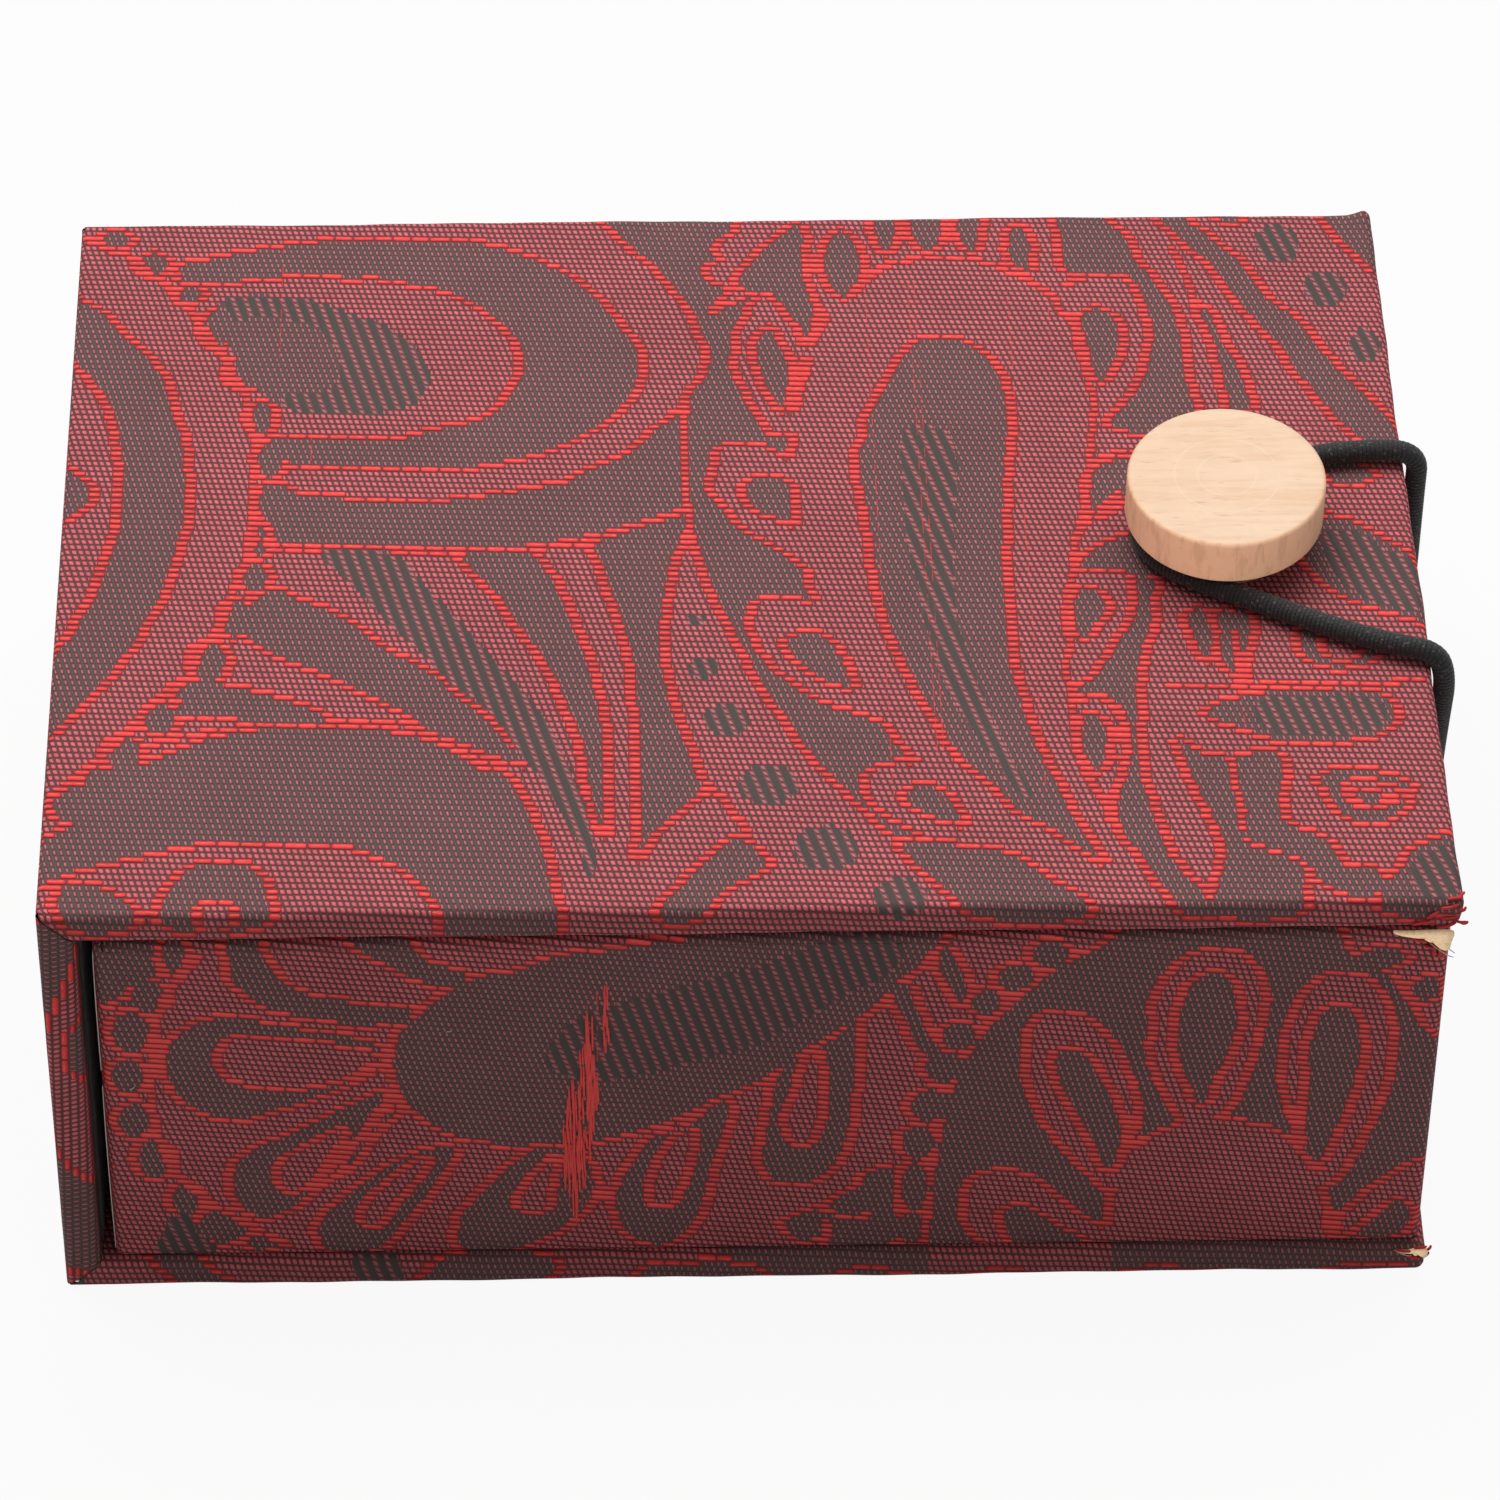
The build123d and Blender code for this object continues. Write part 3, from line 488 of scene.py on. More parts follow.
# The same for the tray's front: x, z
trayShapes = {
    "chainField": (dark, [-60.3, 46, -60.3, 37.8, -58, 38.6, -56.6, 40.5, -54.6, 41.3, -54.5, 44, -54, 46]),
    "footGloss": (satin, [
        -56.5, 4, -55.5, 6.5, -54.8, 8.8, -53, 9, -52.4, 7, -51, 5, -50.5, 4]),
    "petal1": (dark, [
        -47.8, 46.5, -48, 43, -47.7, 40.5, -46.3, 38.5, -44.5, 37, -42, 36, -39, 35.2, -35, 34.7, -32, 34.8,
        -30.8, 36.4, -28.5, 38.2, -27, 39.5, -26, 41, -29.5, 43, -32.3, 46.5]),
    "petal1Inner": (red, [
        -44.7, 46, -44.2, 43, -43, 40.8, -41, 39, -38, 37.9, -35, 37.3, -31.8, 37, -30, 37, -28.5, 38.5,
        -27.5, 39.7, -29.5, 39.5, -30, 40.3, -31.8, 41, -33.5, 42.6, -35, 43.5, -36.5, 45, -37.3, 46]),
    "petal1Band": (dark, [
        -37.5, 46.5, -36.3, 45, -35, 43.6, -33.3, 42.3, -31.5, 41, -30, 40.2, -28, 40, -26, 41, -27.5, 42,
        -29.5, 43, -31, 44.2, -32.3, 46.5]),
    "petal2": (dark, [
        -54.3, 30, -54, 27, -53, 24.8, -51.3, 23.2, -49, 22.3, -47, 22.2, -44.5, 23.2, -42.5, 24, -40.5, 24.9,
        -38.5, 26, -37, 27, -35.5, 28.2, -34.5, 29.5, -34, 31.3, -35, 32.3, -37, 33, -39.5, 33.6, -42, 34.2,
        -44.5, 34.9, -46.5, 35.5, -49, 35.7, -51, 35.2, -52.6, 34, -53.8, 32.5]),
    "petal2Inner": (red, [
        -49.6, 30, -49.5, 31.5, -48.5, 33, -46.7, 33.7, -44, 33.5, -41.5, 33, -39, 32.5, -36.5, 31.8,
        -34.6, 31, -34.2, 30, -35.3, 29, -36.5, 28, -38, 27, -40, 26.3, -42.5, 25.8, -45, 25.8, -47, 26.6,
        -48.8, 27.7, -49.5, 28.8]),
    "petal3": (dark, [
        -48.9, 13, -48.7, 15, -47.8, 17, -46, 18.5, -44, 19.7, -42, 20.9, -40, 22.2, -38, 23.6, -36, 24.8,
        -34, 26, -34, 25, -35, 23, -36, 21, -37.2, 19, -38.4, 17, -39.7, 14.7, -41, 12.4, -42.5, 10.5,
        -44.2, 9, -45.8, 8.4, -47.4, 9.3, -48.5, 11]),
    "petal3Inner": (red, [
        -44.9, 14.5, -44.4, 16.5, -43, 17.8, -41, 19.3, -39.5, 20.4, -38, 21.3, -37.5, 20, -38.3, 18,
        -39.4, 16, -40.3, 14, -41.5, 12.6, -43, 11.8, -44.5, 12.5]),
    "petal3Thin": (dark, [
        -33.2, 24, -34.5, 22, -36, 19.8, -37.5, 17.3, -38.7, 15, -39.2, 14, -38, 15, -36.3, 17.8,
        -34.8, 20.5, -33, 23]),
    "petal4": (dark, [
        -41, 7, -40.3, 9, -38.6, 11, -37, 12.9, -35.3, 14.5, -33.5, 16, -31.5, 17.3, -29.5, 18, -27.5, 17.5,
        -28.3, 15.5, -29.4, 13.3, -30.6, 11, -31.8, 9, -33, 7, -34, 5.3, -35.2, 4, -40.3, 4]),
    "petal4Inner": (red, [
        -37.2, 9, -36.3, 11, -34.8, 13, -33, 15, -31.3, 16.6, -30.2, 17.3, -29.6, 17, -30.3, 15, -31.3, 13,
        -32.6, 11, -33.6, 9, -34.7, 7.3, -36, 6.8, -37, 7.8]),
    "petal5": (dark, [
        -27.4, 3.5, -27.4, 8.5, -26, 10.8, -24.6, 12.9, -23, 15, -21, 17.2, -19.8, 17.8, -16.5, 17.5,
        -15, 15.5, -14.5, 12.5, -15, 10, -16.5, 8, -18, 6.2, -20, 4.8, -22.5, 3.5]),
    "petal5Inner": (red, [
        -22.4, 10, -22, 12, -21, 14, -20, 15.3, -18.5, 17, -17.5, 16.5, -18, 14, -18.3, 11.5, -18.8, 9.3,
        -20.5, 8.5]),
    "teardrop": (dark, [
        -33.3, 30, -33.1, 27, -32.3, 24.5, -31, 22.5, -29.5, 20.8, -27.8, 19.7, -25.5, 19, -23, 18.4,
        -20, 18.3, -16, 18.5, -13, 19, -11, 19.7, -9, 20.5, -7, 21.6, -5, 22.8, -3, 24.2, -1, 25.3, 1, 26.5,
        2.5, 28, 3.5, 29, 5, 30.4, 6.5, 31.6, 8, 33, 10, 34.8, 12, 37, 13.5, 39.3, 15, 41, 16.3, 43,
        17.5, 45, 18, 47, -5, 47, -6, 45.3, -9, 44.9, -12, 44.3, -15, 43.7, -18, 43.4, -20, 42.5, -22, 41.5,
        -24.5, 41, -26.5, 40, -28.3, 38.5, -30, 36.8, -31.6, 35, -32.8, 32.8]),
    "teardropGloss": (satin, [
        -19, 29, -17.5, 33.5, -15, 36, -11, 37.5, -7, 39, -3, 40.5, 1, 42, 4, 43.5, 7, 45, 12, 45.5,
        14, 43.5, 12, 40, 9, 38, 6, 35.5, 3, 33, 0, 31, -3, 30, -7, 28.5, -10, 27.5, -13, 26.8, -16, 27]),
    "petal6": (dark, [
        -12.7, 11.5, -12.5, 8, -11.8, 6, -10, 4.5, -8.5, 4, -6.5, 5, -5, 7.5, -4.2, 10, -3.6, 14, -3, 17,
        -2.2, 20, -1.8, 23, -2.6, 24, -4.6, 22, -6.5, 20, -8, 19.6, -9.3, 19, -10.5, 17, -11.8, 14]),
    "petal6Inner": (red, [
        -9.9, 11, -9.6, 13.5, -9, 16, -7.8, 18.5, -6.5, 20, -5.2, 20.5, -5, 17, -5.6, 14, -6.2, 11.5,
        -7, 9.7, -8.3, 9.1, -9.5, 9.6]),
    "petal7": (dark, [
        1, 15.5, 1.2, 18, 1.7, 22, 2.2, 26, 3.3, 28.8, 5, 30, 7.5, 32, 9.7, 34.5, 10, 31, 9.8, 26, 9.6, 21,
        9, 17.5, 8, 14.7, 6.3, 12.8, 4, 12.3, 2, 13.2]),
    "petal7Inner": (red, [
        3, 20, 3.1, 22.5, 3.9, 25, 4.2, 27.5, 5, 29.3, 6.5, 30.5, 7.1, 27, 7.1, 23, 6.8, 20, 6, 17.8,
        4.8, 17.2, 3.6, 18.3]),
    "petal8": (dark, [
        13, 38.5, 14.3, 39.5, 15.2, 37, 16, 34.5, 17, 32, 17.8, 30.2, 16.5, 29.6, 15, 31.5, 14.3, 34,
        13.3, 36.3]),
    "petal9": (dark, [17.5, 44.5, 18.8, 42.5, 19.7, 40, 20, 37.8, 19.3, 36, 18.4, 38, 17.6, 40, 17, 42]),
    "footRight": (dark, [
        11.2, 13.8, 13.6, 14.6, 13.8, 10, 14, 4, 7.5, 3.8, 7.8, 6, 7, 8.3, 8.5, 7.7, 11.2, 7.3, 11, 10,
        10.6, 12.5]),
    "footSeed1": (dark, [7.5, 9.5, 9, 11, 10.5, 11.8, 11, 10, 10.8, 8, 9, 7.8]),
    "footSeed2": (dark, [3.3, 7, 5, 8.3, 6.8, 8.8, 7.2, 6.5, 6.8, 4.8, 5, 4.5, 3.8, 5.5]),
    "disc": (dark, [
        35, 46.5, 32, 44, 29, 41.8, 27, 40, 25, 37.5, 23, 35, 21.5, 32.5, 20.3, 30, 19.3, 27, 18.6, 24,
        18, 20, 17.6, 16, 17.3, 12, 17.2, 8, 17.3, 3, 65, 3, 65, 30, 63, 32, 61.5, 34.5, 60.3, 37, 59, 39.5,
        57, 41, 54.8, 43, 53.4, 46.5]),
    "flower1": (red, [
        25.2, 31, 25.5, 33.5, 26.3, 35, 28, 35.7, 30, 35.5, 31.5, 34.6, 33, 32.8, 34.2, 30.5, 35.2, 28,
        36, 25.5, 36.6, 23, 36.8, 20.5, 36.3, 18.5, 35.6, 16, 34.9, 14, 34.2, 11.5, 33.8, 10.8, 32.5, 12.3,
        31, 14.3, 29.5, 16.5, 28, 19, 26.7, 22, 25.8, 25, 25.3, 28]),
    "flower2": (red, [
        36.8, 36, 37, 33, 36.8, 30, 37.5, 27, 38.3, 24.5, 39.3, 22, 40.2, 20.5, 42, 20.3, 44.5, 20.8,
        45.5, 22.5, 46.2, 25, 46.9, 28, 47.4, 31, 47.7, 34, 47.9, 37, 47.2, 39.8, 46, 42, 44.5, 43.3,
        42.5, 43.7, 40.5, 43, 39, 41.8, 37.8, 39.8, 37.1, 38]),
    "flower3": (red, [
        49.3, 30, 49.6, 33.5, 50.6, 37, 52, 39.3, 53.7, 40.4, 55.7, 40.4, 57.4, 39, 58.8, 36.7, 59.7, 34,
        60.1, 30.5, 60, 27, 59.6, 23.5, 58.8, 20.3, 57.9, 17, 56.9, 14, 56, 12, 55, 11, 53.8, 13.8, 52, 17,
        50.6, 20.5, 49.7, 24, 49.3, 27]),
    "flowerHeart": (red, [
        34.7, 14, 35.5, 16, 37, 18, 39, 19.6, 41.5, 20.4, 44, 20.7, 46.5, 20.5, 48.5, 19.8, 50.3, 18.5,
        51.8, 16.8, 53.2, 14.6, 54.4, 12.3, 55, 10, 55.4, 7.5, 55.6, 5, 56.3, 3.3, 33.8, 3.3, 34, 6, 34, 9,
        34.2, 12]),
    "flower4": (red, [
        20, 9, 20.2, 11.5, 21, 13.3, 23, 14.2, 25, 14.1, 27, 13, 28.6, 11.5, 30, 9.8, 31.5, 8, 33, 6.5,
        34, 6, 34, 3.3, 22.5, 3.3, 21, 5, 20.2, 7]),
    "flower5": (red, [
        56, 7, 57, 8.5, 58, 10, 59.5, 11.8, 61, 13.3, 62.5, 14.6, 65, 15, 65, 3.3, 57, 3.3, 56, 5]),
    "flower1Core": (dark, [
        28.2, 29, 28.6, 30.2, 30, 30.4, 31.3, 29.5, 32.3, 27.7, 33.2, 25.5, 34.2, 23, 34.9, 20.5, 35.2, 18.5,
        34.9, 16, 34.3, 13.8, 33.6, 13.7, 32.9, 15.5, 32.2, 18, 31, 20.5, 30, 22.5, 29.2, 24.5, 28.6, 26.8]),
    "flower2Core": (dark, [
        39.3, 33, 39.6, 36, 40.4, 38.5, 41.5, 40, 43, 40.2, 44.3, 39, 45, 36.5, 45.2, 33.5, 44.9, 30.5,
        44, 27.5, 43.2, 25, 42.7, 22.8, 42, 22.5, 41.2, 24.5, 40.3, 27, 39.5, 30]),
    "flower3Core": (dark, [
        51.9, 31, 52.3, 33.5, 53, 35.2, 54.3, 35.8, 55.7, 35, 56.6, 32.8, 56.9, 30, 56.8, 27, 56.4, 24,
        55.8, 21, 55, 18, 54.3, 15.3, 53.4, 14.2, 52.6, 16, 52.1, 19, 52, 22, 52, 25, 51.9, 28]),
    "flower4Core": (dark, [
        24, 7.5, 24.6, 8.6, 26, 8.8, 27.5, 8, 29, 6.5, 30.5, 5.2, 32, 4, 32, 3.3, 25.5, 3.3, 24.6, 5]),
    "flower5Core": (dark, [
        58, 4.3, 59, 6, 60.3, 7.8, 61.5, 9, 62.6, 8.6, 63.3, 7, 62.8, 5, 61.5, 4, 59.5, 3.5]),
}
trayDots = {
    "leftBeads": (dark, [
        -52.9, 44.2, 1, 1.9, -55.4, 38.8, 1.4, 1.8, -57.6, 37.7, 0.7, 0.5, -57.2, 34, 1.6, 2.2,
        -57.8, 28.2, 1.4, 1.9, -57.5, 22.2, 1.4, 1.9, -55.9, 16.8, 1.4, 2.3, -53.2, 11.4, 1.2, 1.9,
        -49.9, 7.5, 2.1, 2, -46.2, 5, 1.4, 0.8]),
    "rightBeads": (dark, [
        21.7, 36.7, 1.3, 1.4, 19.3, 32.3, 1.5, 1.5, 18, 28.1, 1.5, 1.7, 16.8, 23, 1.6, 1.8, 15.8, 18, 1.4, 2,
        15.7, 11.7, 1.2, 2.9, 15.5, 6.1, 1.1, 1.9, 24.3, 40, 1.5, 1.5, 27.4, 42.9, 1.6, 1.4]),
    "cornerBeads": (dark, [57.9, 41.9, 2.1, 1.1, 62.3, 37.8, 1.3, 1.3]),
}
trayLines = {
    "chain": [
        -50.5, 44, -52.5, 41, -54, 38, -55, 35, -55.5, 31, -55.7, 27, -55.8, 23, -55.2, 19, -54.5, 16,
        -53, 13.5, -51, 11, -49, 9, -47.5, 7.5, -45.5, 6, -43.8, 4.5],
}
trayHairs = [-13.7, 30, 40, -15, 18, 38, -16.5, 7, 20, -17.1, 9, 18, -14.3, 24, 39, -15.7, 10, 30]

# The weave: cells one and a half warp ends wide and one row high
cloth = {
    "cell": 0.30756,
    "row": 0.759,
    "slope": 0.042,       # the rows fall this much to the right
    "ends": 1.5,          # warp ends in a cell
    "roll": 0.9,          # radius of the cloth round a board's edge
    "side": 1.6,          # flat of a board's edge between its two rolls
    "tuck": 13.1,         # cloth glued inside a board's edge
    "foldRadius": 0.6,
    "foldReach": 3.0,     # the fold's piece ends this far from a board's outer edge
    "foldCols": 18,
    "spineCols": 143,
    "redSide": 3,         # cells of outline on the red side of an edge, then on the dark side
    "darkSide": 1,
    "floatCells": 6.5,
    "beadGrown": 1.22,
    "repeatCol": -9,      # past this column, at the top fold, the pattern has moved by this many rows
    "repeatRows": 13,
    "darkEdge": [(-372, -438), (-494, -600)],     # columns where the base's front edge is dark
    "edgeRow": -8,
    "edgeWave": 0.14,     # how far its edges and its faces stray from straight
    "faceWave": 0.06,
    "trayWave": 0.10,
}
caseRows = {"row": cloth["row"], "slope": cloth["slope"], "x": -62.0, "y": -48.6}
trayRows = {"row": 0.676, "slope": 0.108, "x": -60.2, "y": -3.2}


# Hermite curve through the points: the tangent at each is the mean of the directions in and out of it
def smoothCurve(flat, closed, steps=6):
    p = np.asarray(flat, float).reshape(-1, 2)
    run = (np.roll(p, -1, 0) if closed else np.concatenate((p[1:], p[-1:]))) - p
    length = np.linalg.norm(run, axis=1, keepdims=True)
    way = run / np.maximum(length, 1e-9)
    if closed:
        tangent = (way + np.roll(way, 1, 0)) / 2
        after, nextTangent = np.roll(p, -1, 0), np.roll(tangent, -1, 0)
    else:
        way[-1] = way[-2]
        tangent = (way + np.concatenate((way[:1], way[:-1]))) / 2
        p, after, nextTangent = p[:-1], p[1:], tangent[1:]
        tangent, length = tangent[:-1], length[:-1]
    t = (np.arange(steps) / steps)[None, :, None]
    a, b, m, n, size = (v[:, None, :] for v in (p, after, tangent, nextTangent, length))
    curve = ((2 * t**3 - 3 * t**2 + 1) * a + (t**3 - 2 * t**2 + t) * size * m
             + (3 * t**2 - 2 * t**3) * b + (t**3 - t**2) * size * n).reshape(-1, 2)
    return curve if closed else np.concatenate((curve, after[-1:]))


# Along a row the cloth's height falls by the slope: sheared places have level rows
def sheared(grid, curve):
    return curve + np.stack((0 * curve[:, 0], grid["slope"] * curve[:, 0]), 1)


# Even-odd fill: each row counts its crossings with the curve from the left
def fillCurve(grid, curve, kind):
    kinds = grid["kinds"]
    rows, cols = kinds.shape
    level = grid["y"] + (np.arange(rows) + 0.5) * grid["row"]
    a = sheared(grid, curve)
    b = np.roll(a, -1, 0)
    edge, row = np.nonzero((a[:, 1:] <= level) != (b[:, 1:] <= level))
    x = a[edge, 0] + (level[row] - a[edge, 1]) / (b[edge, 1] - a[edge, 1]) * (b[edge, 0] - a[edge, 0])
    col = np.clip(np.ceil((x - grid["x"]) / cloth["cell"] - 0.5), 0, cols).astype(int)
    counts = np.zeros((rows, cols + 1), int)
    np.add.at(counts, (row, col), 1)
    kinds[np.cumsum(counts, 1)[:, :cols] % 2 == 1] = kind


def ellipseCurve(x, y, halfX, halfY):
    turn = np.linspace(0, 2 * np.pi, 24, endpoint=False)
    return np.stack((x + halfX * np.cos(turn), y + halfY * np.sin(turn)), 1)


# Red outline floats lie along each edge between red and dark, mostly on the red side
def addOutlines(grid, lines):
    kinds = grid["kinds"]
    rows, cols = kinds.shape
    isRed, isDark = kinds == red, kinds == dark
    marked, right, left = (np.zeros_like(isRed) for _ in range(3))
    right[:, :-1] = isRed[:, :-1] & isDark[:, 1:]
    left[:, 1:] = isRed[:, 1:] & isDark[:, :-1]
    for step in range(cloth["redSide"]):
        marked |= isRed & (np.roll(right, -step, 1) | np.roll(left, step, 1))
    for step in range(1, cloth["darkSide"] + 1):
        marked |= isDark & (np.roll(right, step, 1) | np.roll(left, -step, 1))
    marked[:-1] |= isRed[:-1] & isDark[1:]
    marked[1:] |= isRed[1:] & isDark[:-1]
    for flat in lines.values():
        p = sheared(grid, smoothCurve(flat, False, 40))
        row = np.floor((p[:, 1] - grid["y"]) / grid["row"]).astype(int)
        middle = np.floor((p[:, 0] - grid["x"]) / cloth["cell"]).astype(int)
        for col in (middle - 1, middle, middle + 1):
            inside = (row >= 0) & (row < rows) & (col >= 0) & (col < cols)
            marked[row[inside], col[inside]] = True
    kinds[marked & (kinds != satin)] = outline
    kinds[kinds == plain] = dark


# Each row's runs of outline cells are parted into floats: a cell knows its place in its float, and the span
def partFloats(grid):
    kinds = grid["kinds"]
    on = np.zeros((kinds.shape[0], kinds.shape[1] + 2), int)
    on[:, 1:-1] = kinds == outline
    step = np.diff(on, axis=1)
    rowStart, start = np.nonzero(step == 1)
    stop = np.nonzero(step == -1)[1]
    lead, span = np.zeros(kinds.shape), np.ones(kinds.shape)
    for row, a, b in zip(rowStart, start, stop):
        size = b - a
        parts = max(1, round(size / cloth["floatCells"]))
        bounds = np.round(np.arange(parts + 1) * size / parts).astype(int)
        widths = np.diff(bounds)
        lead[row, a:b] = np.arange(size) - np.repeat(bounds[:-1], widths)
        span[row, a:b] = np.repeat(widths, widths)
    grid["lead"], grid["span"] = lead, span


def makeGrid(lay, shapes, dots, lines, hairs, firstCol, firstRow, cols, rows):
    grid = dict(lay, x=lay["x"] + firstCol * cloth["cell"], y=lay["y"] + firstRow * lay["row"],
                firstCol=firstCol, firstRow=firstRow, kinds=np.zeros((rows, cols), int),
                hair=np.zeros((rows, cols)))
    for kind, flat in shapes.values():
        fillCurve(grid, smoothCurve(flat, True), kind)
    for kind, flat in dots.values():
        grown = cloth["beadGrown"] if kind == dark else 1.0
        for x, y, halfX, halfY in np.reshape(flat, (-1, 4)):
            fillCurve(grid, ellipseCurve(x, y, halfX * grown, halfY * grown), kind)
    addOutlines(grid, lines)
    partFloats(grid)
    for at, low, high in np.reshape(hairs, (-1, 3)):
        first, last = (int((level + grid["slope"] * at - grid["y"]) / grid["row"]) for level in (low, high))
        grid["hair"][max(0, first):max(0, last), int((at - grid["x"]) / cloth["cell"])] = 1.0
    return grid


coverGrid = makeGrid(caseRows, coverShapes, coverDots, coverLines, coverHairs, firstCol=-10, firstRow=-10,
                     cols=430, rows=146)
trayGrid = makeGrid(trayRows, trayShapes, trayDots, trayLines, trayHairs, firstCol=0, firstRow=0, cols=405,
                    rows=83)
print("brocade pattern laid out")


# Past its edges the pattern runs on mirrored
def mirrored(index, size):
    place = np.mod(index, 2 * size)
    back = place >= size
    return np.where(back, 2 * size - 1 - place, place), back


# The kind, float and hair of the cells at whole column and row numbers
def cellValues(grid, col, row):
    rows, cols = grid["kinds"].shape
    c, back = mirrored(col - grid["firstCol"], cols)
    r, _ = mirrored(row - grid["firstRow"] + np.where(col < cloth["repeatCol"], cloth["repeatRows"], 0), rows)
    span, lead = grid["span"][r, c], grid["lead"][r, c]
    lead = np.where(back, span - 1 - lead, lead)
    kind = grid["kinds"][r, c]
    for first, last in cloth["darkEdge"]:
        onEdge = (col < first) & (col > last) & (row < cloth["edgeRow"])
        kind = np.where(onEdge & (kind == red), dark, kind)
    return {"kind": kind, "start": (col - lead) * cloth["ends"], "span": span * cloth["ends"],
            "hair": grid["hair"][r, c]}


# A patch of cloth: points[row edge, column edge] with the yarn numbers there; edges, where given, number
# the faces' rows
def clothPatch(grid, points, cols, v, outward, edges=None):
    u, v = np.broadcast_arrays(np.asarray(cols, float)[None, :], v)
    uv = np.stack((u * cloth["ends"], v), 2).reshape(-1, 2)
    col = np.floor((u[:-1, :-1] + u[:-1, 1:]) / 2).astype(int)
    row = (v[:-1, :-1] + v[1:, :-1] + v[:-1, 1:] + v[1:, 1:]) / 4
    if edges is not None:
        row = np.broadcast_to(((edges[:-1] + edges[1:]) / 2)[:, None], row.shape)
    quads = gridFaces(points, outward)
    return (points.reshape(-1, 3), quads, uv[quads],
            cellValues(grid, col.ravel(), np.floor(row).astype(int).ravel()))


# Heights and row numbers where row edges cross column edges, between a low and a high limit
def rowsAcross(lay, edges, along, low, high):
    fall = lay["slope"] * along[None, :]
    y = np.clip(lay["row"] * edges[:, None] + lay["y"] - fall, low, high)
    return y, (y + fall - lay["y"]) / lay["row"]


# The row edges that reach between two heights anywhere along, with parts of a row between them
def rowEdges(lay, along, low, high, parts=1):
    first = np.floor((low + lay["slope"] * np.min(along) - lay["y"]) / lay["row"])
    last = np.ceil((high + lay["slope"] * np.max(along) - lay["y"]) / lay["row"])
    return np.arange(first * parts, last * parts + 1) / parts


def lengthOf(part):
    kind, size, radius = part
    return size if kind == "run" else abs(size) * radius


# Turtle path in a plane: straight parts and left turns, read at the arc lengths s
def turtle(parts, s, start=(0.0, 0.0), heading=0.0):
    s = np.asarray(s, float)
    out = np.zeros((len(s), 2))
    place, angle, done = np.array(start, float), heading, 0.0
    for part in parts:
        kind, size, radius = part
        length = lengthOf(part)
        t = np.clip(s - done, 0, length)
        if kind == "run":
            way = np.array((np.cos(angle), np.sin(angle)))
            at, end = place + t[:, None] * way, place + length * way
        else:
            way = np.sign(size)
            centre = place + way * radius * np.array((-np.sin(angle), np.cos(angle)))
            turned = angle + way * t / radius
            at = centre + way * radius * np.stack((np.sin(turned), -np.cos(turned)), 1)
            angle += size
            end = centre + way * radius * np.array((np.sin(angle), -np.cos(angle)))
        here = s >= done - 1e-9
        out[here] = at[here]
        place, done = end, done + length
    return out, done


# Arc lengths at the row edges, with thirds between them where the path bends
def samples(parts, step):
    total = sum(lengthOf(part) for part in parts)
    marks, done = [np.array([0.0, total]), np.arange(1.0, total / step) * step], 0.0
    for part in parts:
        length = lengthOf(part)
        if part[0] == "turn":
            fine = np.arange(0, total, step / 3)
            marks.append(fine[(fine > done) & (fine < done + length)])
        done += length
    marks = np.unique(np.round(np.concatenate(marks), 5))
    return marks[np.concatenate(([True], np.diff(marks) > step / 12))]


edgeParts = [("turn", quarter, cloth["roll"]), ("run", cloth["side"], 0), ("turn", quarter, cloth["roll"]),
             ("run", cloth["tuck"], 0)]


# The cover's free corners: the rear one is drawn out to a small peak, the front one is worn thin
def coverCorners(x, y, z):
    rear = smoothStep(x, 127.4, 130) * smoothStep(y, 46.4, 49.5)
    front = smoothStep(x, 126.5, 130) * smoothStep(-y, 46.5, 49.5)
    low = smoothStep(z, 1.0, 3.4)
    return x - 0.35 * front * low, y + 0.55 * rear * (1 - low) - 0.1 * front, z - 0.25 * rear * (1 - low)


# Each board's cloth runs away from the fold at its low end; columns count on from the cover's, leftwards
spineStart = -cloth["foldCols"] - cloth["spineCols"]
baseStart = spineStart - cloth["foldCols"]
boards = {
    "cover": {"length": 130.0, "open": True, "seed": 1.3,
              "place": lambda x, y, z: (x - 65, y, 50 - z), "col": lambda x: (x - 3) / cloth["cell"]},
    "base": {"length": 130.0, "open": True, "seed": 4.1,
             "place": lambda x, y, z: (x - 65, y, z), "col": lambda x: baseStart - (x - 3) / cloth["cell"]},
    "spine": {"length": 50.0, "open": False, "seed": 2.6,
              "place": lambda x, y, z: (z - 65, y, x),
              "col": lambda x: spineStart + (x - 3) * cloth["spineCols"] / 44},
}
halfDepth, mitreGap, foldLip = 48.6, 0.141, 0.3


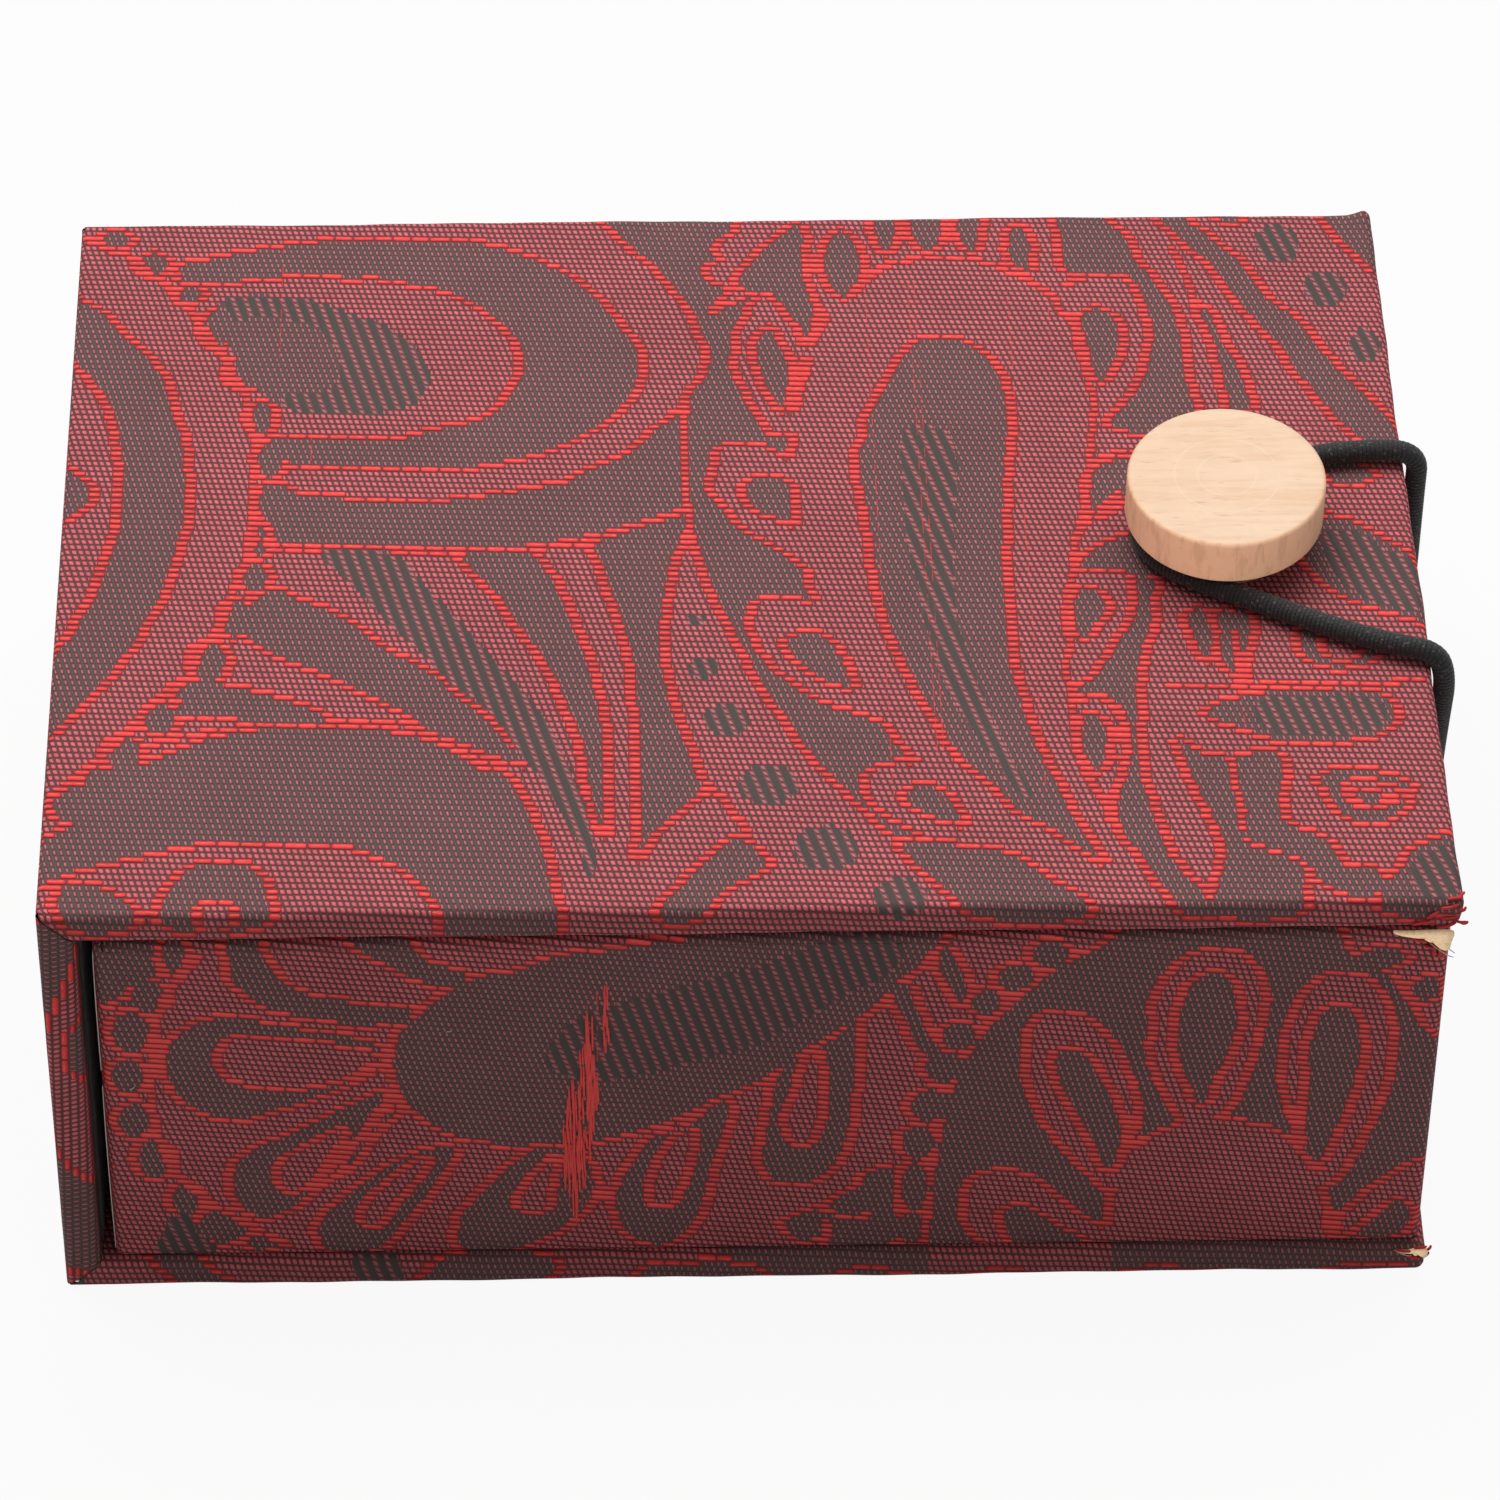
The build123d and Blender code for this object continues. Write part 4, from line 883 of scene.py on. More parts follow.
# A board's cloth, lying with its outer face at depth 0: the face, then each edge's profile swept along it
def boardCloth(key, material):
    b = boards[key]
    end, roll, cell, reach = b["length"], cloth["roll"], cloth["cell"], cloth["foldReach"]
    last = end - roll if b["open"] else end - reach
    count = int(round(abs(b["col"](last) - b["col"](reach))))
    x = np.linspace(reach, last, count + 1)
    patches = []

    def unrolled(cols):
        return caseRows["x"] + cols * cell

    def laid(px, py, pz, cols, v, outward, edges=None):
        px, py, pz = np.broadcast_arrays(px, py, pz)
        farEnd = (-1, 6) if b["open"] else (4, 10)
        lift = smoothStep(px, 4, 10) * smoothStep(end - px, *farEnd)
        shift = smoothStep(np.abs(py), 42, halfDepth) * np.sign(py)
        wavyY = py + shift * lift * waves(px + 3 * np.sign(py), b["seed"], cloth["edgeWave"])
        wavyX = px + b["open"] * smoothStep(px, end - 8, end - 1) * waves(py, b["seed"] + 1, cloth["edgeWave"])
        rise = waves(px * 0.7 + py * 0.9, b["seed"] + 2, cloth["faceWave"])
        rise = np.maximum(rise, 0) if key == "base" else rise
        wavyZ = pz + lift * rise * smoothStep(48.2 - np.abs(py), -1, 8)
        if key == "cover":
            wavyX, wavyY, wavyZ = coverCorners(wavyX, wavyY, wavyZ)
        points = np.stack(b["place"](wavyX, wavyY, wavyZ), 2)
        way = np.subtract(b["place"](*outward), b["place"](0, 0, 0))
        patches.append(clothPatch(coverGrid, points, cols, v, way, edges))

    along = unrolled(b["col"](x))
    edges = rowEdges(caseRows, along, -halfDepth, halfDepth)
    y, v = rowsAcross(caseRows, edges, along, -halfDepth, halfDepth)
    laid(x[None, :], y, np.zeros((1, 1)), b["col"](x), v, (0, 0, -1), edges)
    # front and back edges, cut along the mitres at the folds and the corners
    near = reach - np.arange(9, 0, -1) * cell
    far = [] if b["open"] else end - near[::-1]
    long = np.concatenate((near, x, far))
    along = unrolled(b["col"](long))
    _, total = turtle(edgeParts, [0.0])
    for side in (-1, 1):
        low, high = sorted((side * halfDepth, side * (halfDepth + total)))
        edges = rowEdges(caseRows, along, low, high, 3)
        y, v = rowsAcross(caseRows, edges, along, low, high)
        profile, _ = turtle(edgeParts, np.abs(y).ravel() - halfDepth)
        e, z = profile.reshape(y.shape + (2,)).transpose(2, 0, 1)
        mitre = np.maximum(z + mitreGap, foldLip)
        limit = end - np.maximum(roll, roll - e) if b["open"] else end - mitre
        laid(np.clip(long[None, :], mitre, limit), side * (halfDepth + e), z, b["col"](long), v,
             (0, side, 0), edges)
    if b["open"]:
        sign = np.sign(b["col"](1) - b["col"](0))
        s = samples(edgeParts, cell)
        profile, _ = turtle(edgeParts, s)
        e, z = profile[:, 0][None, :], profile[:, 1][None, :]
        width = (halfDepth + roll) - np.maximum(roll, roll - e)
        cols = b["col"](last) + sign * s / cell
        along = unrolled(cols)
        edges = rowEdges(caseRows, along, -halfDepth, halfDepth)
        y, v = rowsAcross(caseRows, edges, along, -width, width)
        laid(last + e, y, z, cols, v, (1, 0, 0), edges)
        # rounded corners, as far as the profile stands outside them
        s = samples(edgeParts, 0.25)
        s = s[s < 2 * quarter * roll + cloth["side"] + 1e-6]
        profile, _ = turtle(edgeParts, s)
        turn, radius = np.linspace(0, quarter, 5)[None, :], np.maximum(profile[:, :1], 0)
        cols = b["col"](last) + sign * np.arange(5.0)
        for side in (-1, 1):
            v = (side * (halfDepth + s[:, None]) + caseRows["slope"] * unrolled(cols[:1])
                 - caseRows["y"]) / caseRows["row"]
            laid(last + radius * np.sin(turn), side * (halfDepth + radius * np.cos(turn)), profile[:, 1:],
                 cols, v, (1, side, 0))
    return meshPiece(key + "Cloth", patches, material)


# The brocade round a fold, from a board's face to the next one's
def foldCloth(name, start, heading, lastCol, outward, material):
    reach, radius = cloth["foldReach"] - cloth["foldRadius"], cloth["foldRadius"]
    parts = [("run", reach, 0), ("turn", quarter, radius), ("run", reach, 0)]
    s = np.linspace(0, 2 * reach + quarter * radius, cloth["foldCols"] + 1)
    path, _ = turtle(parts, s, start, heading)
    cols = lastCol - np.arange(len(s))
    along = caseRows["x"] + cols * cloth["cell"]
    edges = rowEdges(caseRows, along, -halfDepth, halfDepth)
    y, v = rowsAcross(caseRows, edges, along, -halfDepth, halfDepth)
    points = np.stack(np.broadcast_arrays(path[None, :, 0], y, path[None, :, 1]), 2)
    return meshPiece(name, [clothPatch(coverGrid, points, cols, v, outward, edges)], material)

# Brocade material: the weave is drawn from yarn numbers in the UV map and each cell's values
brocadeLook = {
    "redYarn": rgb(214, 110, 115), "redGround": rgb(114, 68, 70),
    "darkYarn": rgb(186, 112, 116), "darkGround": rgb(97, 77, 76),
    "satinYarn": rgb(188, 112, 116), "satinGround": rgb(118, 82, 82),
    "stroke": rgb(80, 72, 69),
    "floatYarn": rgb(236, 72, 72), "floatGround": rgb(140, 62, 64), "floatPaintedHighlight": rgb(255, 140, 130),
    "roughness": 0.7,
    "specular": 0.12,
    "relief": 0.00016,
    "share": (0.70, 0.30, 0.38),    # a short float's share of its period on red, and what dark and satin take off
}


def fract(value):
    return calc("FRACT", value)


def floor(value):
    return calc("FLOOR", value)


# Distance from the middle of each whole step, one at its ends
def fromMiddle(value):
    return calc("ABSOLUTE", fract(value) - 0.5) * 2.0


def brocadeMaterial(name, look):
    made, shader, here = newMaterial(name, Roughness=look["roughness"], Specular_IOR_Level=look["specular"])
    u, v, _ = split(addNode(here.tree, "ShaderNodeUVMap", uv_map="yarns"))
    kind, start, span, hair = (addNode(here.tree, "ShaderNodeAttribute", output="Fac", attribute_name=key)
                               for key in ("kind", "start", "span", "hair"))
    onDark, onSatin, onFloat = (calc("COMPARE", kind, number, 0.5) for number in (dark, satin, outline))
    leaning = onDark + onSatin
    row, up = floor(v), fract(v)
    fibres = noiseOf(joined(u * 0.35, v * 7.0), 1.0, 3.0, 0.65)
    wander = noiseOf(joined(u * 0.3, row), 1.0, 1.0) - 0.5
    across = fromMiddle(v + onFloat * (wander * 0.22))
    # short floats: each row's are one end further on, and their share of the ground is the tone
    onRed, lessDark, lessSatin = look["share"]
    period = onSatin * 3.0 + 3.0
    place = (u + row) / period
    slant = (up - 0.5) * (0.3 - onDark * 0.1)
    along = fromMiddle(place + slant) / (onRed - (onDark * lessDark + onSatin * lessSatin))
    shortAcross = across / mixNumber(onSatin, 0.74, 0.66)
    # long floats of the outlines run from end to end of their span, with a gap of half an end
    nearEnd = calc("MINIMUM", u - start, start + span - u)
    longAlong = calc("MAXIMUM", 0.0, 1.0 - (nearEnd - 0.36) / 2.2)
    shade = addNode(here.tree, "ShaderNodeTexWhiteNoise", {
        "Vector": joined(mixNumber(onFloat, floor(place), start), row)}, "Value", noise_dimensions="2D")
    longAcross = across / (fade(span, 5.0, 9.0, 0.72, 0.86) * (shade * 0.24 + 0.86))
    lengthWay = mixNumber(onFloat, along, longAlong)
    widthWay = mixNumber(onFloat, shortAcross, longAcross)
    # the yarn's rounded outline: cubes of both ways added, one at its border
    body = calc("POWER", lengthWay, 3.0) + calc("POWER", widthWay, 3.0)
    yarn = fade(body, 0.7, 1.35, 1.0, 0.0)
    dome = 1.0 - calc("MINIMUM", body, 1.0) * 0.6
    # each yarn's own shade, and fibres along it
    rowShade = addNode(here.tree, "ShaderNodeTexWhiteNoise", {"W": row}, "Value", noise_dimensions="1D")
    bright = shade * 0.2 + fibres * 0.3 + 0.72 + rowShade * 0.06

    def byKind(name):
        color = mixColor(onDark, look["red" + name], look["dark" + name])
        color = mixColor(onSatin, color, look["satin" + name])
        return mixColor(onFloat, color, look["float" + name])

    # warp ends: thin upright ribs in the ground, with painted shade between them; on dark cloth they lean with the
    # dots into smooth strokes, painted lighter away from the dots' line. shadow is a painted shadow beside and
    # below each dot. The same values also raise the bump
    lean = fromMiddle((u + (v - 0.5)) / period)
    shadow = fade(along, 1.0, 2.2, 1.0, 0.0) * fade(up, 0.05, 0.45, 1.0, 0.0)
    rib = mixNumber(leaning, fade(fromMiddle(u), 0.5, 1.0, 1.0, 0.8), lean * 0.16 + 0.9) * (1.0 - shadow * 0.2)
    ground = mixColor(fade(lean, 0.4, 0.58) * onSatin, byKind("Ground"), look["stroke"])
    ground = vectorMath("SCALE", ground, {"Scale": rib * (fibres * 0.2 + 0.9)})
    broken = noiseOf(joined(u * 0.1, v), 0.7)
    isHair = (calc("GREATER_THAN", hair, 0.5) * fade(fromMiddle(u / 1.5), 0.3, 0.5, 1.0, 0.0)
              * fade(broken, 0.42, 0.55))
    # long floats get a painted highlight along their upper side, and dull is painted shade along their lower side
    paintedHighlight = fade(up, 0.45, 0.66) * fade(up, 0.7, 0.86, 1.0, 0.0) * fade(fibres, 0.45, 0.62)
    dull = 1.0 - fade(up, 0.15, 0.5, 0.3, 0.0) * onFloat
    thread = vectorMath("SCALE", byKind("Yarn"), {"Scale": bright * dull})
    thread = mixColor(paintedHighlight * onFloat * 0.6, thread, look["floatPaintedHighlight"])
    woven = mixColor(isHair * 0.55, mixColor(yarn, ground, thread), look["floatYarn"])
    relief = yarn * (dome * (onFloat * 0.4 + 1.0)) + rib * 0.25
    relief = calc("MAXIMUM", relief, leaning * (fade(lean, 0.2, 0.9) * 0.45)) + fibres * 0.15
    dress(shader, mottled(woven, here, 90.0, 0.3), calc("MAXIMUM", relief, isHair), look["relief"])
    return made


brocade = brocadeMaterial("brocade", brocadeLook)
# the same cloth with the rows of the tray's strip, its yarns coloured brighter as painted light, most of all along
# its long floats
trayBrocadePaintedLight = brocadeMaterial("trayBrocadePaintedLight", {
    **brocadeLook, "redYarn": rgb(226, 112, 118), "darkYarn": rgb(196, 118, 122),
    "floatYarn": rgb(255, 86, 86), "floatGround": rgb(150, 66, 68)})
coverCloth, baseCloth, spineCloth = (boardCloth(key, brocade) for key in ("cover", "base", "spine"))
foldTop = foldCloth("foldTopCloth", (-62.0, 50.0), np.pi, 0, (-1, 0, 1), brocade)
foldBottom = foldCloth("foldBottomCloth", (-65.0, 3.0), 1.5 * np.pi, spineStart, (-1, 0, -1), brocade)
for piece, body, node in ((coverCloth, "cover", "cover_cloth"), (baseCloth, "tray", "base_cloth"),
                          (spineCloth, "spine", "spine_cloth")):
    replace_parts(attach(piece, body), node)
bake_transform(foldTop)
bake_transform(foldBottom)
print("case cloth made")

# Tray cloth: one strip round the tray, under it by 2 mm and over the rim to its inside
tray = {
    "low": (-60.2, -48.5), "high": (64.3, 48.5), "corner": 1.0,
    "parts": [("run", 2.0, 0), ("turn", quarter, 0.5), ("run", 40.7, 0), ("turn", quarter, 0.8),
              ("run", 1.4, 0), ("turn", quarter, 0.8), ("run", 11.2, 0)],
    "wall": (2.785, 43.485), "start": (-2.5, 3.4), "height": 1.115, "frontEnd": 64.3,
    # from corner to corner, which way it faces, first and last column; a corner turns from there by a quarter
    "front": [("frontLeft", "frontLeft", np.pi, -2, 3), ("frontLeft", "frontRight", -quarter, 3, 401),
              ("frontRight", "frontRight", -quarter, 401, 406)],
    "rest": [("frontRight", "backRight", 0.0, 406, 715), ("backRight", "backRight", 0.0, 715, 720),
             ("backRight", "backLeft", quarter, 720, 1118), ("backLeft", "backLeft", quarter, 1118, 1123),
             ("backLeft", "frontLeft", np.pi, 1123, 1432)],
}


# Stations round the tray: straight walls and quarter corners, each swept by the profile. On the wall the
# faces follow the rows; the height on the strip is the arc length plus an offset
def trayCloth(name, stretches, material):
    _, total = turtle(tray["parts"], [0.0])
    low, high = np.array(tray["low"]), np.array(tray["high"])
    wallLow, wallHigh = tray["wall"]
    r, patches = tray["corner"], []
    corners = {"frontLeft": low, "frontRight": (high[0], low[1]), "backRight": high,
               "backLeft": (low[0], high[1])}
    inset = {key: np.array(p) + r * np.sign((2.0, 0) - np.array(p)) for key, p in corners.items()}
    fine = np.unique(np.concatenate((samples(tray["parts"], trayRows["row"]), tray["wall"])))
    for first, second, angle, colStart, colEnd in stretches:
        isCorner = first == second
        cols = np.arange(colStart, colEnd + 1.0)
        along = np.minimum(trayRows["x"] + cols * cloth["cell"], tray["frontEnd"])
        t = np.linspace(0, 1, len(cols))[None, :]
        a, run = inset[first], inset[second] - inset[first]
        turn = angle + t * (quarter if isCorner else 0)
        middle = angle + (quarter / 2 if isCorner else 0)
        for bottom, top in ((0.0, wallLow), (wallLow, wallHigh), (wallHigh, total)):
            edges = None
            if bottom == wallLow:
                heights = (bottom + tray["height"], top + tray["height"])
                edges = rowEdges(trayRows, along, *heights)
                y, v = rowsAcross(trayRows, edges, along, *heights)
                s = y - tray["height"]
            else:
                s = fine[(fine >= bottom - 1e-6) & (fine <= top + 1e-6)][:, None]
                v = (s + tray["height"] + trayRows["slope"] * along - trayRows["y"]) / trayRows["row"]
                s = s + 0 * v
            profile, _ = turtle(tray["parts"], s.ravel(), tray["start"])
            e, z = profile.reshape(s.shape + (2,)).transpose(2, 0, 1)
            wave = smoothStep(z, 5, 20) * waves(a[0] + run[0] * t + run[1] * t, angle, cloth["trayWave"])
            wave = wave * np.maximum(np.sin(np.pi * t), 0) ** 0.5 * float(not isCorner)
            reach = (np.maximum(r + e, 0) if isCorner else r + e) + wave
            x, y = a[0] + run[0] * t + np.cos(turn) * reach, a[1] + run[1] * t + np.sin(turn) * reach
            x = np.where(-e > r, np.clip(x, low[0] - e, high[0] + e), x)
            y = np.where(-e > r, np.clip(y, low[1] - e, high[1] + e), y)
            points = np.stack(np.broadcast_arrays(x, y, z), 2)
            patches.append(clothPatch(trayGrid, points, cols, v, (np.cos(middle), np.sin(middle), 0), edges))
    return meshPiece(name, patches, material)


trayFront = trayCloth("trayFrontCloth", tray["front"], trayBrocadePaintedLight)
trayRest = trayCloth("trayRestCloth", tray["rest"], trayBrocadePaintedLight)
for piece in (trayFront, trayRest):
    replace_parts(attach(piece, "tray"), "tray_wrap_cloth")
print("tray cloth made")

# Elastic: one loop up the right side, over the cover's edge and round the button's neck
elastic = {
    "diameter": 2.1,
    "rib": 0.42,            # pitch of its ribs
    "ribDepth": 0.035,
    "sides": 20,
    "threads": 16.0,
    "order": 3,             # of its NURBS line, and the line's points to each given one
    "steps": 16,
    "loop": [(66.3, -15.3, 28), (66.3, -15.7, 35), (66.35, -16.8, 42.5), (66.45, -17.7, 48.3), (65.4, -17.4, 51.4),
             (61.2, -16.2, 51.35), (56, -13.9, 51.3), (50, -10.6, 51.3), (40.53, -5.39, 51.3),
             (38.23, -0.88, 51.3), (38.93, 4.11, 51.3), (42.37, 7.80, 51.3), (52, 9.85, 51.3),
             (59.5, 11.4, 51.35), (66.35, 11.4, 51.4), (66.3, 11.4, 46), (66.3, 11.4, 40), (66.3, 11.4, 34),
             (66.3, 11.4, 28)],
    "strands": (-15.3, 11.4),
    "root": [(63.4, 22), (64.6, 22), (66.35, 22), (66.3, 25), (66.3, 28)],
    "lead": [(63.6, 22), (61.5, 22), (59.5, 22), (58.3, 22)],
    "knotPlace": (58.3, 22.0),
    "knotSize": 0.62,
    "tail": [(58.3, 22), (56.6, 21.0), (55.4, 19.2), (55.0, 17.6)],
    "color": rgb(39, 38, 38),
    "shadedGroove": rgb(12, 12, 13),
    "fleck": rgb(132, 124, 120),
    "relief": 0.00006,
}


# A NURBS line through its end points, read back as its points in mm
def nurbsLine(points):
    data = bpy.data.curves.new("route", "CURVE")
    data.dimensions = "3D"
    data.resolution_u = elastic["steps"]
    spline = data.splines.new("NURBS")
    spline.points.add(len(points) - 1)
    spline.points.foreach_set("co", np.concatenate((points, np.ones((len(points), 1))), 1).ravel())
    spline.order_u = elastic["order"]
    spline.use_endpoint_u = True
    holder = bpy.data.objects.new("route", data)
    mesh = bpy.data.meshes.new_from_object(holder)
    line = np.zeros(len(mesh.vertices) * 3)
    mesh.vertices.foreach_get("co", line)
    bpy.data.objects.remove(holder)
    bpy.data.curves.remove(data)
    bpy.data.meshes.remove(mesh)
    return line.reshape(-1, 3)


# Points at an even step along a line
def evenly(line, step):
    length = np.concatenate(([0], np.cumsum(np.linalg.norm(np.diff(line, axis=0), axis=1))))
    s = np.linspace(0, length[-1], max(2, int(length[-1] / step) + 1))
    return np.stack([np.interp(s, length, line[:, k]) for k in range(3)], 1), s


# Frames along a line, each one the last turned as little as the line turns
def frames(line):
    tangent = np.gradient(line, axis=0)
    tangent /= np.linalg.norm(tangent, axis=1, keepdims=True)
    side = np.zeros_like(line)
    side[0] = np.cross(tangent[0], (0.31, 0.87, 0.38))
    for k in range(1, len(line)):
        side[k] = side[k - 1] - tangent[k] * np.dot(side[k - 1], tangent[k])
        side[k] /= np.linalg.norm(side[k])
    side[0] /= np.linalg.norm(side[0])
    return side, np.cross(tangent, side)


# A tube round a line: a circle whose radius changes along it, with rounded closed ends
def tubeParts(line, radius, sides, s):
    a, b = frames(line)
    turn = np.linspace(0, 2 * np.pi, sides + 1)
    ring = np.cos(turn)[:, None] * a[:, None] + np.sin(turn)[:, None] * b[:, None]
    points, ends = line[:, None] + radius[:, None, None] * ring, []
    for k, way in ((0, -1), (-1, 1)):
        ahead = np.cross(a[k], b[k]) * way * radius[k] * 0.4
        ends.append(np.stack([line[k] + ahead * np.sin(w) + (points[k] - line[k]) * np.cos(w)
                              for w in (np.pi / 4, np.pi / 2)]))
    points = np.concatenate((ends[0][::-1], points, ends[1]))
    middle = np.concatenate((line[:1], line[:1], line, line[-1:], line[-1:]))
    quads = gridFaces(points, points - middle[:, None])
    along = np.concatenate(([s[0] - 1, s[0] - 0.5], s, [s[-1] + 0.5, s[-1] + 1]))
    uv = np.stack(np.broadcast_arrays(along[:, None], np.linspace(0, 1, sides + 1)), 2).reshape(-1, 2)
    return points.reshape(-1, 3), quads, uv[quads]


# Ribs stand across the elastic, a sine along its length
def elasticTube(line):
    even, s = evenly(line, elastic["rib"] / 4)
    radius = elastic["diameter"] / 2 - elastic["ribDepth"] * (0.5 + 0.5 * np.cos(2 * np.pi * s / elastic["rib"]))
    return tubeParts(even, radius, elastic["sides"], s)


# Braid: grooves between the ribs and, half a step further on in each rib, between sixteen threads round it; the
# grooves are sunk in the bump and darkened as painted shade
def elasticMaterial(look):
    made, shader, here = newMaterial("elastic", Roughness=0.76, Sheen_Weight=0.15, Sheen_Roughness=0.5)
    along, around, _ = split(addNode(here.tree, "ShaderNodeUVMap", uv_map="yarns"))
    across = calc("COSINE", along * (2 * np.pi / look["rib"]))
    plait = calc("ABSOLUTE", fract(around * look["threads"] + floor(along / look["rib"]) * 0.5) - 0.5)
    shadedGroove = calc("MAXIMUM", fade(across, 0.2, 0.95), fade(plait, 0.36, 0.5))
    flecks = fade(noiseOf(here, 2600.0, 1.0), 0.6, 0.74, 0.0, 0.45)
    thread = mixColor(flecks, mixColor(shadedGroove, look["color"], look["shadedGroove"]), look["fleck"])
    dress(shader, mottled(thread, here, 1800.0, 0.9), 1.0 - shadedGroove, look["relief"])
    return made


elasticThread = elasticMaterial(elastic)
loopLine = nurbsLine(elastic["loop"])
loop = meshPiece("elasticLoop", [elasticTube(loopLine)], elasticThread)
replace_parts(loop, "loop_strands", "loop_bight")
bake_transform(loop)
roots = meshPiece("elasticRoots", [
    elasticTube(nurbsLine([(x, y, z) for x, z in elastic["root"]])) for y in elastic["strands"]], elasticThread)
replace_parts(roots, "loop_strands")
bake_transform(roots)


# Overhand knots inside the wall: a trefoil curve, with the lead from the hole and a short tail
def knotParts(y):
    x, z = elastic["knotPlace"]
    t = np.linspace(0, 2 * np.pi, 90)
    size = elastic["knotSize"]
    curl = np.stack((x + size * 0.8 * np.sin(3 * t), y + size * (np.sin(t) + 2 * np.sin(2 * t)),
                     z + size * (np.cos(t) - 2 * np.cos(2 * t))), 1)
    lead = nurbsLine([(px, y, pz) for px, pz in elastic["lead"]])
    tail = nurbsLine([(px, y + 0.4 * k, pz) for k, (px, pz) in enumerate(elastic["tail"])])
    return [elasticTube(line) for line in (curl, lead, tail)]


knots = meshPiece("elasticKnots", [part for y in elastic["strands"] for part in knotParts(y)], elasticThread)
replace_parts(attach(knots, "tray"), "loop_knots")

# Button: a turned disc on a round neck
button = {
    "centre": (46.5, 0.5), "radius": 9.5, "bottom": 52.9, "top": 57.8, "topEdge": 0.38, "bottomEdge": 0.28,
    "neck": 6.7, "seat": 50.0, "tilt": 2.5, "raise": 0.15,     # the taut elastic tips the disc forward
    "sides": 160, "neckSides": 96,
    "neckWaist": 0.2, "waistAt": 1.4, "intoDisc": 0.6,
    "wobble": 0.0012,          # how far from round, as a share of the radius
    # side: the disc's side colour, partly its own tone and partly painted light
    "pale": rgb(227, 195, 166), "late": rgb(216, 177, 142), "side": rgb(237, 188, 149),
    "speck": rgb(196, 150, 112), "cuts": (2.8, 5.0),       # radii of the turning tool's two faint rings
}


# A profile of radius and height turned round an upright axis
def turned(profile, centre, sides, wobble=0.0):
    r, z = np.asarray(profile, float).T[:, :, None]
    turn = np.linspace(0, 2 * np.pi, sides + 1)[None, :]
    wave = 1 + wobble * (np.sin(2 * turn + 0.7) + 0.6 * np.sin(3 * turn + 2) + 0.3 * np.sin(7 * turn))
    radius = r * np.where(r > 1, wave, 1.0)
    points = np.stack(np.broadcast_arrays(centre[0] + radius * np.cos(turn), centre[1] + radius * np.sin(turn),
                                          z), 2)
    quads = gridFaces(points, points - (*centre, (z.min() + z.max()) / 2))
    p = points.reshape(-1, 3)
    return p, quads, p[quads][:, :, :2]


def arc(r, z, radius, start, end, steps=5):
    t = np.radians(np.linspace(start, end, steps))
    return [(r + radius * np.cos(a), z + radius * np.sin(a)) for a in t]


def discProfile(b):
    low, high, r = b["bottom"], b["top"], b["radius"]
    lower = arc(r - b["bottomEdge"], low + b["bottomEdge"], b["bottomEdge"], -90, 0)
    upper = arc(r - b["topEdge"], high - b["topEdge"], b["topEdge"], 0, 90)
    side = [(r, low + (high - low) * k / 4) for k in (1, 2, 3)]
    radii = (0.0, 3.0, 6.0, 8.6)
    return [(q, low) for q in radii] + lower + side + upper + [(q, high) for q in radii[::-1]]


# Pale close wood: grain, pores and clouds as noise stretched along x, two rings left by the tool, and a side
# with upright streaks, coloured brighter and more orange than the top: partly the wood's own tone, partly painted
# light
def woodMaterial(look):
    made, shader, here = newMaterial("turnedWood", Roughness=0.55)
    x, y = look["centre"]
    centred = vectorMath("SUBTRACT", here, {1: (x * mm, y * mm, 0.0)})
    grain = noiseOf(centred, (120.0, 1500.0, 700.0), 4.0, 0.6)
    speck = fade(noiseOf(centred, (500.0, 5200.0, 5200.0)), 0.66, 0.74)
    cloud = noiseOf(centred, (60.0, 160.0, 100.0))
    streaks = noiseOf(centred, (1100.0, 1100.0, 260.0), 3.0, 0.6)
    flat = vectorMath("MULTIPLY", centred, {1: (1.0, 1.0, 0.0)})
    radius = vectorMath("LENGTH", flat, {}, "Value")
    cuts = [fade(calc("ABSOLUTE", radius - r * mm), 0.00004, 0.00016, 1.0, 0.0) for r in look["cuts"]]
    late = fade(grain, 0.42, 0.68, 0.0, 0.55) + fade(cloud, 0.4, 0.7, 0.0, 0.35) - calc("MAXIMUM", *cuts) * 0.35
    rim = fade(radius, (look["radius"] - look["topEdge"]) * mm, (look["radius"] - 0.1) * mm)
    color = mixColor(late, look["pale"], look["late"])
    # the side's colour at the rim: partly the wood's own tone, partly painted light
    color = mixColor(rim * 0.85, color, look["side"])
    color = mixColor(rim * 0.4 * fade(streaks, 0.48, 0.66), color, look["speck"])
    color = mixColor(speck * 0.45, color, look["speck"])
    dress(shader, mottled(color, here, 700.0, 0.12), grain * 0.4 - speck * 0.6, 0.00004)
    return made


wood = woodMaterial(button)
points, quads, uv = turned(discProfile(button), button["centre"], button["sides"], button["wobble"])
tip = Matrix.Rotation(np.radians(button["tilt"]), 3, "X")
middle = np.array((*button["centre"], (button["bottom"] + button["top"]) / 2))
points = (points - middle) @ np.array(tip).T + middle + (0, 0, button["raise"])
disc = meshPiece("buttonDisc", [(points, quads, uv)], wood)
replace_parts(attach(disc, "cover"), "button_disc")
foot, head, width = button["seat"], button["bottom"] + button["intoDisc"], button["neck"]
neckRing = [(0.0, foot), (4.0, foot), (width, foot), (width - button["neckWaist"], foot + button["waistAt"]),
            (width, head), (4.0, head), (0.0, head)]
neck = meshPiece("buttonNeck", [turned(neckRing, button["centre"], button["neckSides"])], wood)
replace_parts(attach(neck, "cover"), "button_neck")
print("button made")

